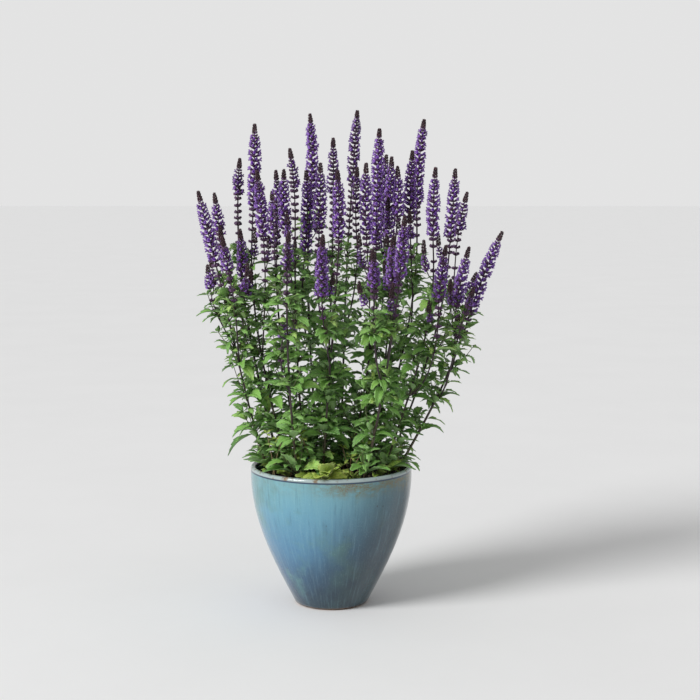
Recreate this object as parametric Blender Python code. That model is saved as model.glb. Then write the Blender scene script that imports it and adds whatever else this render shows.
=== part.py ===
"""Perennial salvia in a glazed stoneware pot.

The pot stands on its flat base, and the origin is the middle of that base. Compost fills it to just
under the rim. Eighteen square stems stand in holes in the compost and lean out like a fan. Each one
carries pairs of opposite leaves, each pair turned a quarter turn from the last, and ends in a flower
spike. Side shoots leave from the leaf joints and end in spikes of their own.

Lengths are in metres. X runs to the right, Y away from the viewer and Z up.
"""

import math
import random
from dataclasses import dataclass, field
from typing import NamedTuple

import bmesh
import bpy
import numpy as np
from mathutils import Vector

MM = 0.001

# Where the plant was looked at from. A place on the plant is given as it is seen against the upright
# plane through the middle of the pot, together with how far behind that plane it lies.
EYE = Vector((0.033, -2.6, 0.746))

# Pot
POT_HEIGHT = 0.247
POT_RIM_RADIUS = 0.1415
POT_BASE_RADIUS = 0.0630
POT_SHOULDER_HEIGHT = 0.236
POT_WALL = 0.0085
POT_FLOOR = 0.012
POT_FOOT_CHAMFER = 0.003
POT_SIDES = 32
POT_OUTER_RINGS = 5
POT_INNER_RINGS = 3
LIP_POINTS = 4
DRAIN_HOLES = 3
DRAIN_HOLE_RADIUS = 0.006
DRAIN_HOLE_PLACE = 0.036
DRAIN_HOLE_SIDES = 8

# Compost
SOIL_TOP = 0.230
SOIL_GAP = 0.0004
SOIL_MOUND = 0.006
SOIL_LUMP = 0.0028
SOIL_RINGS = (0.030, 0.062, 0.094, 0.118)
STEM_DEPTH = 0.022
HOLE_GAP = 0.00035

# Stems and side shoots. A stem is square, and its radius is taken to its corners.
STEM_RADIUS_FOOT = 0.0024
STEM_RADIUS_TOP = 0.0016
SHOOT_RADIUS_FOOT = 0.0017
SHOOT_RADIUS_TOP = 0.0013
JOINT_HEIGHT = 0.0032
SHOOT_TURN = 0.009
FIRST_LEAVES = 0.014
LEAF_STEP_LOW = 0.062
LEAF_STEP_HIGH = 0.052
LEAF_STEP_LEAST = 0.031
BARE_STEM = 0.030
SHOOT_LEAVES_AT = 0.62
SHOOT_LEAF_LEAST = 0.060

# Leaves. Angles are in degrees.
LEAF_LENGTH_LOW = 0.062
LEAF_LENGTH_HIGH = 0.031
SHOOT_LEAF_LENGTH = 0.027
LEAF_SLENDERNESS = 0.195
LEAF_THICKNESS = 0.0010
PETIOLE_SHARE = 0.12
LARGE_LEAF = 0.046
LEAF_SIZES = (0.82, 1.18)
LEAF_SWING = (-35, 35)
LEAF_RISE = (2, 60)
LEAF_DROOP = (48, 118)
LEAF_TURN = (20, 62)
LEAF_FOLD = (8, 22)
LEAF_TRIES = 16
LEAF_SHRINK = 0.4
LEAF_CLEARANCE = 0.0017
LEAF_SAMPLE_STEP = 0.0034
ROOT_ZONE = 0.009
RIM_CLEARANCE = 0.003

# Flower spikes
SPIKE_CORE = 0.0022
SPIKE_REACH = 0.0098
SPIKE_REACH_SPENT = 0.0086
SPIKE_REACH_TOP = 0.0056
SPIKE_TIP_LENGTH = 0.021
SPIKE_TIP_RADIUS = 0.0035
SPIKE_TIP_MOST = 0.30
SPIKE_TIP_BULGE = 0.38
SPIKE_SPENT_SHARE = 0.34
SPIKE_BOW = 0.035
WHORL_STEP_OPEN = 0.0122
WHORL_STEP_SPENT = 0.0160
WHORL_HEIGHT_SPENT = 0.0062
FLORET_LIFT = 0.0034
SPIKE_GAP = 0.0003


class Spike(NamedTuple):
    """A flower spike in millimetres: tip and foot as (x seen, z seen, y), and how high its shoot leaves."""

    tip: tuple
    foot: tuple
    leaves_at: float = 0.0


class Stem(NamedTuple):
    """A stem: where it stands in the compost in millimetres, and its spikes, the one at its own top first."""

    stand: tuple
    spikes: tuple


class SetLeaf(NamedTuple):
    """A leaf that stands out: its stem's number, its height and length in millimetres, and how it lies."""

    stem: int
    height: float
    heading: float
    rise: float
    droop: float
    length: float


STEMS = (
    Stem((-108, -12), (
        Spike((-230, 727, -45), (-198, 590, -34)),
        Spike((-202, 723, 22), (-191, 625, 14), 468),
        Spike((-189, 649, -92), (-174, 565, -76), 424),
        Spike((-215, 598, 4), (-209, 548, 2), 446),
    )),
    Stem((-90, 26), (
        Spike((-157, 783, 84), (-161, 664, 68)),
        Spike((-158, 661, -16), (-155, 556, -8), 440),
    )),
    Stem((-74, -24), (
        Spike((-131, 843, 40), (-137, 650, 16)),
        Spike((-128, 763, -66), (-115, 600, -48), 430),
    )),
    Stem((-58, 58), (
        Spike((-102, 727, 168), (-97, 600, 138)),
        Spike((-95, 763, 112), (-94, 625, 92), 462),
    )),
    Stem((-42, 4), (
        Spike((-71, 800, -14), (-62, 672, -8)),
        Spike((-81, 764, 50), (-78, 645, 38), 496),
    )),
    Stem((-56, -74), (
        Spike((-73, 656, -178), (-77, 560, -150)),
        Spike((-84, 510, -106), (-86, 462, -102), 392),
    )),
    Stem((-26, 86), (
        Spike((-36, 860, 214), (-36, 690, 176)),
        Spike((-43, 763, 88), (-47, 600, 80), 440),
    )),
    Stem((-10, 34), (
        Spike((4, 819, 62), (3, 640, 50)),
        Spike((-18, 776, 22), (-23, 612, 18), 470),
    )),
    Stem((-14, -52), (
        Spike((11, 763, -84), (12, 610, -68)),
        Spike((-14, 651, -160), (-16, 534, -134), 400),
    )),
    Stem((14, 92), (
        Spike((46, 867, 232), (30, 640, 182)),
        Spike((46, 768, 140), (45, 640, 124), 470),
    )),
    Stem((30, -12), (
        Spike((84, 836, 16), (78, 610, 6)),
        Spike((61, 776, -58), (64, 605, -44), 440),
    )),
    Stem((44, 66), (
        Spike((96, 790, 164), (92, 630, 132)),
        Spike((105, 787, 88), (99, 604, 74), 452),
    )),
    Stem((56, -76), (
        Spike((128, 685, -168), (115, 538, -134)),
        Spike((73, 625, -176), (75, 534, -150), 398),
    )),
    Stem((66, 10), (
        Spike((115, 769, 34), (114, 664, 26)),
        Spike((109, 649, -76), (108, 552, -58), 410),
    )),
    Stem((76, 52), (
        Spike((161, 851, 134), (149, 660, 104)),
        Spike((141, 797, 62), (138, 640, 52), 462),
    )),
    Stem((88, -40), (
        Spike((181, 768, -70), (178, 615, -58)),
        Spike((200, 633, -112), (187, 502, -92), 372),
    )),
    Stem((98, 26), (
        Spike((215, 766, 66), (204, 605, 52)),
        Spike((236, 725, 6), (216, 604, 6), 430),
    )),
    Stem((112, -8), (
        Spike((298, 658, -30), (236, 494, -20)),
        Spike((240, 630, -58), (218, 520, -50), 412),
        Spike((253, 585, 34), (234, 530, 28), 464),
        Spike((249, 560, -84), (230, 500, -74), 358),
    )),
)

SET_LEAVES = (
    SetLeaf(stem=1, height=312, heading=188, rise=-8, droop=62, length=66),
    SetLeaf(stem=6, height=250, heading=204, rise=34, droop=52, length=64),
    SetLeaf(stem=9, height=252, heading=262, rise=42, droop=72, length=62),
    SetLeaf(stem=13, height=250, heading=318, rise=44, droop=58, length=60),
    SetLeaf(stem=16, height=252, heading=338, rise=36, droop=62, length=60),
)


def seen(place_mm):
    """The point that is seen at (x, z) against the pot's middle plane and lies y behind it."""
    x, z, y = (value * MM for value in place_mm)
    on_plane = Vector((x, 0.0, z))
    return EYE + (on_plane - EYE) * ((y - EYE.y) / -EYE.y)


def level(vector):
    """The vector laid level, one metre long."""
    return Vector((vector.x, vector.y, 0.0)).normalized()


def turned(vector, angle):
    """A level vector turned about Z."""
    c, s = math.cos(angle), math.sin(angle)
    return Vector((vector.x * c - vector.y * s, vector.x * s + vector.y * c, 0.0))


def blend(low, high, share):
    return low + (high - low) * share


# Curves that the plant grows along


class Curve(NamedTuple):
    """A cubic curve, with a direction that one side of what grows along it keeps facing."""

    points: tuple
    facing: Vector

    def at(self, share):
        a, b, c, d = self.points
        rest = 1.0 - share
        near = a * rest**3 + b * (3 * rest * rest * share)
        return near + c * (3 * rest * share * share) + d * share**3

    def along(self, share):
        a, b, c, d = self.points
        rest = 1.0 - share
        slope = (b - a) * (rest * rest) + (c - b) * (2 * rest * share) + (d - c) * (share * share)
        return slope.normalized()

    def length(self):
        steps = [self.at(i / 24) for i in range(25)]
        return sum((q - p).length for p, q in zip(steps, steps[1:]))

    def spread(self, step):
        """Points along the curve about a step apart."""
        count = max(3, round(self.length() / step))
        return [self.at(i / count) for i in range(count + 1)]

    def sides(self, share):
        """Two directions across the curve, square to it and to each other."""
        along = self.along(share)
        across = (self.facing - along * self.facing.dot(along)).normalized()
        return across, along.cross(across)

    def share_at_height(self, height):
        low, high = 0.0, 1.0
        for _ in range(40):
            middle = (low + high) / 2
            if self.at(middle).z < height:
                low = middle
            else:
                high = middle
        return (low + high) / 2


def spike_curve(spike, facing, draw):
    """A spike's own line, bowed a little to one side."""
    foot, tip = seen(spike.foot), seen(spike.tip)
    sideways = Vector((draw.uniform(-1, 1), draw.uniform(-1, 1), 0.0))
    bow = sideways * (SPIKE_BOW * (tip - foot).length)
    return Curve((foot, foot.lerp(tip, 1 / 3) + bow, foot.lerp(tip, 2 / 3) + bow, tip), facing)


def stem_curve(stand, crest, facing):
    """From the compost to the foot of the spike, which it meets in the spike's own direction."""
    start = Vector((stand[0] * MM, stand[1] * MM, SOIL_TOP))
    foot = crest.at(0.0)
    reach = (foot - start).length
    first = start.lerp(foot, 0.36) + level(start) * (0.03 * reach)
    second = foot - crest.along(0.0) * (0.34 * reach)
    return Curve((start, first, second, foot), facing)


def shoot_curve(start, outward, upward, crest, facing):
    """From a face of the stem, out of the leaf joint and up to the foot of the side spike."""
    foot = crest.at(0.0)
    reach = (foot - start).length
    first = start + (outward * 0.75 + upward * 0.65).normalized() * (0.22 * reach)
    second = foot - crest.along(0.0) * (0.34 * reach)
    return Curve((start, first, second, foot), facing)


# Leaves


@dataclass
class Leaf:
    """A leaf's root, the level way it points, and how it rises, droops, turns over and folds, in radians."""

    root: Vector
    heading: Vector
    rise: float
    droop: float
    turn: float
    fold: float
    length: float
    half_width: float


def leaf_outline(share):
    """Half the blade's width at this share of its length, as a share of the most."""
    along = np.clip((np.asarray(share, float) - PETIOLE_SHARE) / (1.0 - PETIOLE_SHARE), 0.0, 1.0)
    blade = np.clip(np.sin(np.pi * along**0.74), 0.0, 1.0) ** 0.86
    return np.maximum(blade, 0.10 * (1.0 - along))


def leaf_points(leaf, share, across, raised=0.0):
    """Points of the blade: share from root to tip, across from -1 to 1, raised above the rib's own line."""
    share = np.asarray(share, float)
    angle = leaf.rise - leaf.droop * share
    forward = (np.sin(leaf.rise) - np.sin(angle)) / leaf.droop
    upward = (np.cos(angle) - np.cos(leaf.rise)) / leaf.droop
    heading = np.array(leaf.heading)
    up = np.array((0.0, 0.0, 1.0))
    side = np.cross(up, heading)
    rib = np.array(leaf.root) + leaf.length * (forward[..., None] * heading + upward[..., None] * up)
    above = -np.sin(angle)[..., None] * heading + np.cos(angle)[..., None] * up
    turn = leaf.turn * np.sqrt(share)[..., None]
    left = np.cos(turn) * side + np.sin(turn) * above
    normal = np.cos(turn) * above - np.sin(turn) * side
    width = (np.asarray(across, float) * leaf.half_width)[..., None]
    lift = np.abs(width) * math.sin(leaf.fold) + raised
    return rib + width * math.cos(leaf.fold) * left + lift * normal


def leaf_samples(leaf):
    """Points spread over the blade, close enough together that nothing passes between them."""
    rows = max(4, math.ceil(leaf.length / LEAF_SAMPLE_STEP))
    columns = 1 + 2 * max(1, math.ceil(leaf.half_width / LEAF_SAMPLE_STEP))
    share, across = np.meshgrid(np.linspace(0.06, 1.0, rows), np.linspace(-1.0, 1.0, columns))
    return leaf_points(leaf, share.ravel(), (across * leaf_outline(share)).ravel())


class Crowd:
    """What already fills the space round the plant, as points that each keep others a distance off."""

    def __init__(self):
        self.points = np.empty((0, 3))
        self.radii = np.empty(0)

    def add(self, points, radius):
        points = np.asarray(points, float).reshape(-1, 3)
        self.points = np.concatenate([self.points, points])
        self.radii = np.concatenate([self.radii, np.full(len(points), radius)])

    def lets_in(self, points, radius, root):
        """Whether these points touch nothing, apart from what grows within ROOT_ZONE of their root."""
        reach = radius + self.radii.max()
        near = (self.points > points.min(0) - reach) & (self.points < points.max(0) + reach)
        others, radii = self.points[near.all(1)], self.radii[near.all(1)]
        apart = np.linalg.norm(others - np.array(root), axis=1) > np.maximum(ROOT_ZONE, radii + 0.001)
        others, radii = others[apart], radii[apart]
        if not len(others):
            return True
        gaps = np.linalg.norm(points[:, None] - others[None], axis=2) - radii[None]
        return bool(gaps.min() > radius)


def pot_radius(height):
    """The outer radius of the pot: a quarter of a sine wave from its base to its shoulder."""
    share = min(1.0, max(0.0, height / POT_SHOULDER_HEIGHT))
    return blend(POT_BASE_RADIUS, POT_RIM_RADIUS, math.sin(share * math.pi / 2))


def clears_pot(points):
    """Whether points stay over the compost, over the rim or outside the wall."""
    radius = np.hypot(points[:, 0], points[:, 1])
    height = points[:, 2]
    over_soil = height > SOIL_TOP + SOIL_MOUND + SOIL_LUMP + LEAF_CLEARANCE
    over_rim = height > POT_HEIGHT + RIM_CLEARANCE
    outside = radius > POT_RIM_RADIUS + RIM_CLEARANCE
    inside = radius < POT_RIM_RADIUS - POT_WALL - RIM_CLEARANCE
    return bool(np.all(outside | over_rim | (inside & over_soil)))


# Where each stem, shoot, spike and leaf is


@dataclass
class Joint:
    """A leaf joint: its share along the curve, the two faces its leaves grow from, and any side shoot."""

    share: float
    faces: tuple
    leaves: dict = field(default_factory=dict)
    side: "Shoot" = None


@dataclass
class Shoot:
    """A stem or side shoot with its spike. A stem has no face that it grows from."""

    curve: Curve
    crest: Curve
    radius_foot: float
    radius_top: float
    face: int = None
    joints: list = field(default_factory=list)

    def radius(self, share):
        return blend(self.radius_foot, self.radius_top, share)

    def face_way(self, share, face):
        """The way that one of the four flat faces looks."""
        across, third = self.curve.sides(share)
        return (third, -across, -third, across)[face]

    def face_middle(self, share, face):
        flat = self.radius(share) * math.cos(math.pi / 4)
        return self.curve.at(share) + self.face_way(share, face) * flat


def joint_heights(top, branches):
    """Heights of a stem's leaf joints: one where each side shoot leaves, and others between them."""
    heights = list(branches)
    height = SOIL_TOP + FIRST_LEAVES
    while height < top:
        if all(abs(height - branch) > LEAF_STEP_LEAST for branch in branches):
            heights.append(height)
        height += blend(LEAF_STEP_LOW, LEAF_STEP_HIGH, (height - SOIL_TOP) / (top - SOIL_TOP))
    return sorted(heights)


def side_shoot(main, joint, spike, draw):
    """A side shoot from the face that looks most towards its spike, just above the leaves of the joint."""
    start = main.curve.at(joint.share)
    towards = level(seen(spike.foot) - start)
    face = max(range(4), key=lambda k: main.face_way(joint.share, k).dot(towards))
    joint.faces = (face, (face + 2) % 4)
    outward = main.face_way(joint.share, face)
    upward = main.curve.along(joint.share)
    facing = upward.cross(outward)
    crest = spike_curve(spike, facing, draw)
    root = main.face_middle(joint.share, face) + upward * (JOINT_HEIGHT * 1.5)
    curve = shoot_curve(root, outward, upward, crest, facing)
    joint.side = Shoot(curve, crest, SHOOT_RADIUS_FOOT, SHOOT_RADIUS_TOP, face)
    if curve.length() > SHOOT_LEAF_LEAST:
        joint.side.joints.append(Joint(SHOOT_LEAVES_AT, (0, 2)))
    return joint.side


def plan_stem(stem, draw):
    """A stem and its side shoots, with bare joints."""
    turn = draw.uniform(0.0, math.pi / 2)
    facing = Vector((math.cos(turn), math.sin(turn), 0.0))
    crest = spike_curve(stem.spikes[0], facing, draw)
    curve = stem_curve(stem.stand, crest, facing)
    main = Shoot(curve, crest, STEM_RADIUS_FOOT, STEM_RADIUS_TOP)
    branches = [spike.leaves_at * MM for spike in stem.spikes[1:]]
    for number, height in enumerate(joint_heights(curve.at(1.0).z - BARE_STEM, branches)):
        first = number % 2
        main.joints.append(Joint(curve.share_at_height(height), (first, first + 2)))
    shoots = [main]
    for spike in stem.spikes[1:]:
        free = [joint for joint in main.joints if joint.side is None]
        joint = min(free, key=lambda j: abs(curve.at(j.share).z - spike.leaves_at * MM))
        shoots.append(side_shoot(main, joint, spike, draw))
    return shoots


def outward_turn(heading, place, amount):
    """How far a leaf turns over so that its upper side looks out from the middle of the plant."""
    left = turned(heading, math.pi / 2)
    return -left.dot(level(place)) * amount


def draw_leaf(shoot, joint, face, length, draw):
    """One way that a leaf might grow from this face."""
    root = shoot.face_middle(joint.share, face)
    heading = turned(level(shoot.face_way(joint.share, face)), math.radians(draw.uniform(*LEAF_SWING)))
    length *= draw.uniform(*LEAF_SIZES)
    return Leaf(
        root=root,
        heading=heading,
        rise=math.radians(draw.uniform(*LEAF_RISE)),
        droop=math.radians(draw.uniform(*LEAF_DROOP)),
        turn=outward_turn(heading, root, math.radians(draw.uniform(*LEAF_TURN))),
        fold=math.radians(draw.uniform(*LEAF_FOLD)),
        length=length,
        half_width=length * LEAF_SLENDERNESS * draw.uniform(0.88, 1.12),
    )


def place_set_leaf(main, chosen, crowd):
    """A leaf that stands out, on the joint and face nearest to the height and heading that it is given."""
    joint = min(main.joints, key=lambda j: abs(main.curve.at(j.share).z - chosen.height * MM))
    heading = turned(Vector((1.0, 0.0, 0.0)), math.radians(chosen.heading))
    face = max(joint.faces, key=lambda k: main.face_way(joint.share, k).dot(heading))
    root = main.face_middle(joint.share, face)
    length = chosen.length * MM
    leaf = Leaf(
        root=root,
        heading=heading,
        rise=math.radians(chosen.rise),
        droop=math.radians(chosen.droop),
        turn=outward_turn(heading, root, math.radians(LEAF_TURN[0])),
        fold=math.radians(LEAF_FOLD[1]),
        length=length,
        half_width=length * LEAF_SLENDERNESS,
    )
    points = leaf_samples(leaf)
    if clears_pot(points) and crowd.lets_in(points, LEAF_CLEARANCE, root):
        joint.leaves[face] = leaf
        crowd.add(points, LEAF_CLEARANCE)


def leaf_size(shoot, joint):
    """Leaves get smaller up a stem."""
    if shoot.face is not None:
        return SHOOT_LEAF_LENGTH
    rise = shoot.curve.at(joint.share).z - SOIL_TOP
    return blend(LEAF_LENGTH_LOW, LEAF_LENGTH_HIGH, rise / (shoot.curve.at(1.0).z - SOIL_TOP))


def hang_leaf(shoot, joint, face, crowd, draw):
    """Tries one leaf after another, each a little smaller, until one finds room."""
    for attempt in range(LEAF_TRIES):
        shrink = 1.0 - LEAF_SHRINK * attempt / LEAF_TRIES
        leaf = draw_leaf(shoot, joint, face, leaf_size(shoot, joint) * shrink, draw)
        points = leaf_samples(leaf)
        if clears_pot(points) and crowd.lets_in(points, LEAF_CLEARANCE, leaf.root):
            joint.leaves[face] = leaf
            crowd.add(points, LEAF_CLEARANCE)
            return


def plan_plant():
    """Every stem with its shoots, spikes and leaves. Stems and spikes take their room before the leaves."""
    plan = [plan_stem(stem, random.Random(100 + n)) for n, stem in enumerate(STEMS)]
    crowd = Crowd()
    for shoots in plan:
        for shoot in shoots:
            crowd.add(shoot.curve.spread(0.003), STEM_RADIUS_FOOT)
            crowd.add(shoot.crest.spread(0.004), SPIKE_REACH)
    for chosen in SET_LEAVES:
        place_set_leaf(plan[chosen.stem - 1][0], chosen, crowd)
    for number, shoots in enumerate(plan):
        draw = random.Random(500 + number)
        for shoot in shoots:
            for joint in shoot.joints:
                for face in joint.faces:
                    if face not in joint.leaves:
                        hang_leaf(shoot, joint, face, crowd, draw)
    return plan


# Solids


def material(name, colour, roughness):
    made = bpy.data.materials.new(name)
    made.use_nodes = True
    shader = made.node_tree.nodes["Principled BSDF"]
    shader.inputs["Base Color"].default_value = (*colour, 1.0)
    shader.inputs["Roughness"].default_value = roughness
    shader.inputs["Metallic"].default_value = 0.0
    return made


def add_object(name, bm, finish):
    """A mesh object from bm, with its faces turned outwards."""
    bmesh.ops.recalc_face_normals(bm, faces=bm.faces[:])
    mesh = bpy.data.meshes.new(name)
    bm.to_mesh(mesh)
    bm.free()
    mesh.materials.append(finish)
    made = bpy.data.objects.new(name, mesh)
    bpy.context.scene.collection.objects.link(made)
    return made


def cut_away(target, cutter):
    """Cuts one object from another, and leaves the cutter out of the model."""
    cutter.hide_render = True
    cutter.display_type = "WIRE"
    modifier = target.modifiers.new("holes", "BOOLEAN")
    modifier.operation = "DIFFERENCE"
    modifier.object = cutter
    modifier.solver = "EXACT"


def spun(profile):
    """A closed bmesh turned round Z from (radius, height) points that start and end on the axis."""
    bm = bmesh.new()
    verts = [bm.verts.new((radius, 0.0, height)) for radius, height in profile]
    edges = [bm.edges.new(pair) for pair in zip(verts, verts[1:])]
    bmesh.ops.spin(bm, geom=verts + edges, cent=(0, 0, 0), axis=(0, 0, 1),
                   angle=2 * math.pi, steps=POT_SIDES, use_merge=True)
    bmesh.ops.remove_doubles(bm, verts=bm.verts[:], dist=1e-6)
    return bm


def inner_profile(floor, gap):
    """(radius, height) points down the pot's inner wall to its floor, a gap inside it."""
    heights = [blend(floor, SOIL_TOP, i / POT_INNER_RINGS) for i in range(POT_INNER_RINGS, -1, -1)]
    return [(pot_radius(height) - POT_WALL - gap, height) for height in heights]


def build_pot(finish):
    """The pot: outer wall, rounded lip, inner wall and a flat floor with drain holes."""
    profile = [(0.0, 0.0), (POT_BASE_RADIUS - POT_FOOT_CHAMFER, 0.0)]
    for i in range(POT_OUTER_RINGS):
        height = blend(POT_FOOT_CHAMFER, POT_SHOULDER_HEIGHT, i / (POT_OUTER_RINGS - 1))
        profile.append((pot_radius(height), height))
    lip = POT_WALL / 2
    for i in range(LIP_POINTS):
        angle = math.pi * i / (LIP_POINTS - 1)
        over = POT_RIM_RADIUS - lip + lip * math.cos(angle)
        profile.append((over, POT_HEIGHT - lip + lip * math.sin(angle)))
    profile += inner_profile(POT_FLOOR, 0.0)
    profile.append((0.0, POT_FLOOR))
    pot = add_object("pot", spun(profile), finish)
    pot.data.shade_smooth()
    pot.data.set_sharp_from_angle(angle=math.radians(40))
    cutter = bmesh.new()
    for i in range(DRAIN_HOLES):
        place = turned(Vector((DRAIN_HOLE_PLACE, 0.0, 0.0)), 2 * math.pi * (i + 0.25) / DRAIN_HOLES)
        hole = bmesh.ops.create_cone(
            cutter, cap_ends=True, segments=DRAIN_HOLE_SIDES, radius1=DRAIN_HOLE_RADIUS,
            radius2=DRAIN_HOLE_RADIUS, depth=POT_FLOOR * 3)
        bmesh.ops.translate(cutter, verts=hole["verts"], vec=place)
    cut_away(pot, add_object("drain_hole_cutters", cutter, finish))


def square(curve, share, radius, middle):
    """The four corners of a square section. Face k lies between corners k and k + 1."""
    across, third = curve.sides(share)
    angles = [math.pi / 4 + k * math.pi / 2 for k in range(4)]
    return [middle + (across * math.cos(a) + third * math.sin(a)) * radius for a in angles]


def side_faces(bm, low, high):
    """The four faces between two square rings."""
    return [bm.faces.new((low[k], low[(k + 1) % 4], high[(k + 1) % 4], high[k])) for k in range(4)]


def build_soil(plan, finish):
    """The compost: a mounded, lumpy plug in the pot, with a square hole for each stem."""
    wall = inner_profile(POT_FLOOR + SOIL_GAP, SOIL_GAP)
    profile = [(0.0, SOIL_TOP + SOIL_MOUND)]
    profile += [(r, SOIL_TOP + SOIL_MOUND * (1.0 - (r / wall[0][0]) ** 2)) for r in SOIL_RINGS]
    profile += wall
    profile.append((0.0, POT_FLOOR + SOIL_GAP))
    bm = spun(profile)
    draw = random.Random(7)
    for vert in bm.verts:
        if vert.co.z > SOIL_TOP + SOIL_GAP:
            vert.co += Vector([draw.uniform(-SOIL_LUMP, SOIL_LUMP) for _ in range(3)])
    bmesh.ops.triangulate(bm, faces=bm.faces[:])
    soil = add_object("compost", bm, finish)
    cutter = bmesh.new()
    for main, *_ in plan:
        along = main.curve.along(0.0)
        corner = STEM_RADIUS_FOOT + HOLE_GAP * math.sqrt(2)
        low = main.curve.at(0.0) - along * (STEM_DEPTH + HOLE_GAP)
        high = main.curve.at(0.0) + along * (SOIL_MOUND + 4 * SOIL_LUMP)
        rings = [[cutter.verts.new(p) for p in square(main.curve, 0.0, corner, middle)]
                 for middle in (low, high)]
        side_faces(cutter, *rings)
        cutter.faces.new(rings[0])
        cutter.faces.new(rings[1])
    cut_away(soil, add_object("stem_hole_cutters", cutter, finish))


# The blade's edge as (share of the length, share of the outline), tooth and notch by turns
LARGE_EDGE = ((0.38, 1.08), (0.47, 0.86), (0.66, 1.12), (0.75, 0.84))
SMALL_EDGE = ((0.34, 1.06), (0.50, 0.84), (0.72, 1.14))
RIB = 0.48
NECK = 0.14
NECK_DEPTH = 0.0014


def add_neck(bm, leaf, upper, lower):
    """Narrows a large leaf's stalk to a flat top with a keel below. Gives where its two blades start."""
    out = leaf_outline(NECK)
    left, right = [bm.verts.new(p) for p in leaf_points(leaf, [NECK, NECK], [out, -out])]
    keel = bm.verts.new(leaf_points(leaf, [NECK], [0.0], -NECK_DEPTH)[0])
    bm.faces.new((upper[0], upper[1], right))
    bm.faces.new((upper[0], right, left))
    bm.faces.new((lower[0], lower[1], keel))
    for root_up, root_low, side in zip(upper, lower, (left, right)):
        bm.faces.new((root_up, root_low, side))
        bm.faces.new((root_low, keel, side))
    return [left, right], [left, keel, right]


def add_leaf(bm, leaf, corners):
    """Grows a blade with toothed edges out of four corners of the stem, two lower and then two upper."""
    left_way = turned(leaf.heading, math.pi / 2)
    lower = sorted(corners[:2], key=lambda v: -v.co.dot(left_way))
    upper = sorted(corners[2:], key=lambda v: -v.co.dot(left_way))
    large = leaf.length > LARGE_LEAF
    edge = LARGE_EDGE if large else SMALL_EDGE
    shares = [share for share, _ in edge]
    out = leaf_outline(shares) * [factor for _, factor in edge]
    tip = bm.verts.new(leaf_points(leaf, [1.0], [0.0])[0])
    left, right = [[bm.verts.new(p) for p in leaf_points(leaf, shares, sign * out)] for sign in (1, -1)]
    if large:
        upper, lower = add_neck(bm, leaf, upper, lower)
    else:
        bm.faces.new((upper[0], lower[0], left[0]))
        bm.faces.new((upper[1], lower[1], right[0]))
    for starts, raised in ((upper, LEAF_THICKNESS / 2), (lower, -LEAF_THICKNESS / 2)):
        rib = bm.verts.new(leaf_points(leaf, [RIB], [0.0], raised)[0])
        rim = [tip, *reversed(left), *starts, *right]
        for a, b in zip(rim, rim[1:] + rim[:1]):
            bm.faces.new((a, b, rib))


def stations_of(shoot):
    """Shares along a shoot that need a ring, and what grows from the faces between them."""
    share_of = 1.0 / shoot.curve.length()
    half = JOINT_HEIGHT / 2 * share_of
    stations = [0.0 if shoot.face is None else SHOOT_TURN * share_of]
    grown = {}
    for joint in shoot.joints:
        if joint.leaves or joint.side:
            stations += [joint.share - half, joint.share + half]
            grown |= {(len(stations) - 1, face): leaf for face, leaf in joint.leaves.items()}
        if joint.side:
            stations.append(joint.share + 3 * half)
            grown[len(stations) - 1, joint.side.face] = joint.side
    if len(stations) == 1:
        stations.append(0.5)
    return [*stations, 1.0], grown


def grow_shoot(bm, shoot, first_ring):
    """A stem or side shoot and all that grows on it, as part of one closed surface."""
    stations, grown = stations_of(shoot)
    low = first_ring
    for band, share in enumerate(stations):
        places = square(shoot.curve, share, shoot.radius(share), shoot.curve.at(share))
        high = [bm.verts.new(p) for p in places]
        for k in range(4):
            corners = (low[k], low[(k + 1) % 4], high[(k + 1) % 4], high[k])
            growth = grown.get((band, k))
            if growth is None:
                bm.faces.new(corners)
            elif isinstance(growth, Leaf):
                add_leaf(bm, growth, corners)
            else:
                grow_side(bm, growth, corners)
        low = high
    bm.faces.new(low)


def grow_side(bm, side, corners):
    """A side shoot out of four corners of its stem, each matched to the nearest of its own first ring."""
    first = square(side.curve, 0.0, side.radius_foot, side.curve.at(0.0))
    orders = [[corners[(k * way + turn) % 4] for k in range(4)] for way in (1, -1) for turn in range(4)]
    matched = min(orders, key=lambda order: sum((v.co - p).length for v, p in zip(order, first)))
    grow_shoot(bm, side, matched)


def build_stem(name, main, finish):
    """One leafy stem with its side shoots, from the foot of its hole in the compost."""
    bm = bmesh.new()
    foot = main.curve.at(0.0) - main.curve.along(0.0) * STEM_DEPTH
    first = [bm.verts.new(p) for p in square(main.curve, 0.0, main.radius_foot, foot)]
    bm.faces.new(first)
    grow_shoot(bm, main, first)
    add_object(name, bm, finish)


def whorls(body):
    """Whorls up a spike as (low, high, reach): spent ones apart, then open ones close together."""
    found = []
    height = SPIKE_GAP
    while height + WHORL_STEP_SPENT < body * SPIKE_SPENT_SHARE:
        height += WHORL_STEP_SPENT
        found.append((height - WHORL_HEIGHT_SPENT, height, SPIKE_REACH_SPENT))
    count = max(2, round((body - height) / WHORL_STEP_OPEN))
    step = (body - height) / count
    for i in range(count):
        reach = blend(SPIKE_REACH, SPIKE_REACH_TOP, (i / (count - 1)) ** 3)
        found.append((height + i * step, height + (i + 1) * step, reach))
    return found


def draw_out_florets(bm, faces, crest, share, reach, draw):
    """Draws each face of a whorl out into a floret that points away from the spike and a little up."""
    middle, along = crest.at(share), crest.along(share)
    for vert in bmesh.ops.poke(bm, faces=faces)["verts"]:
        outward = vert.co - middle
        outward = (outward - along * outward.dot(along)).normalized()
        lift = FLORET_LIFT * draw.uniform(0.7, 1.2)
        vert.co = middle + outward * (reach * draw.uniform(0.88, 1.06)) + along * lift


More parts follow.
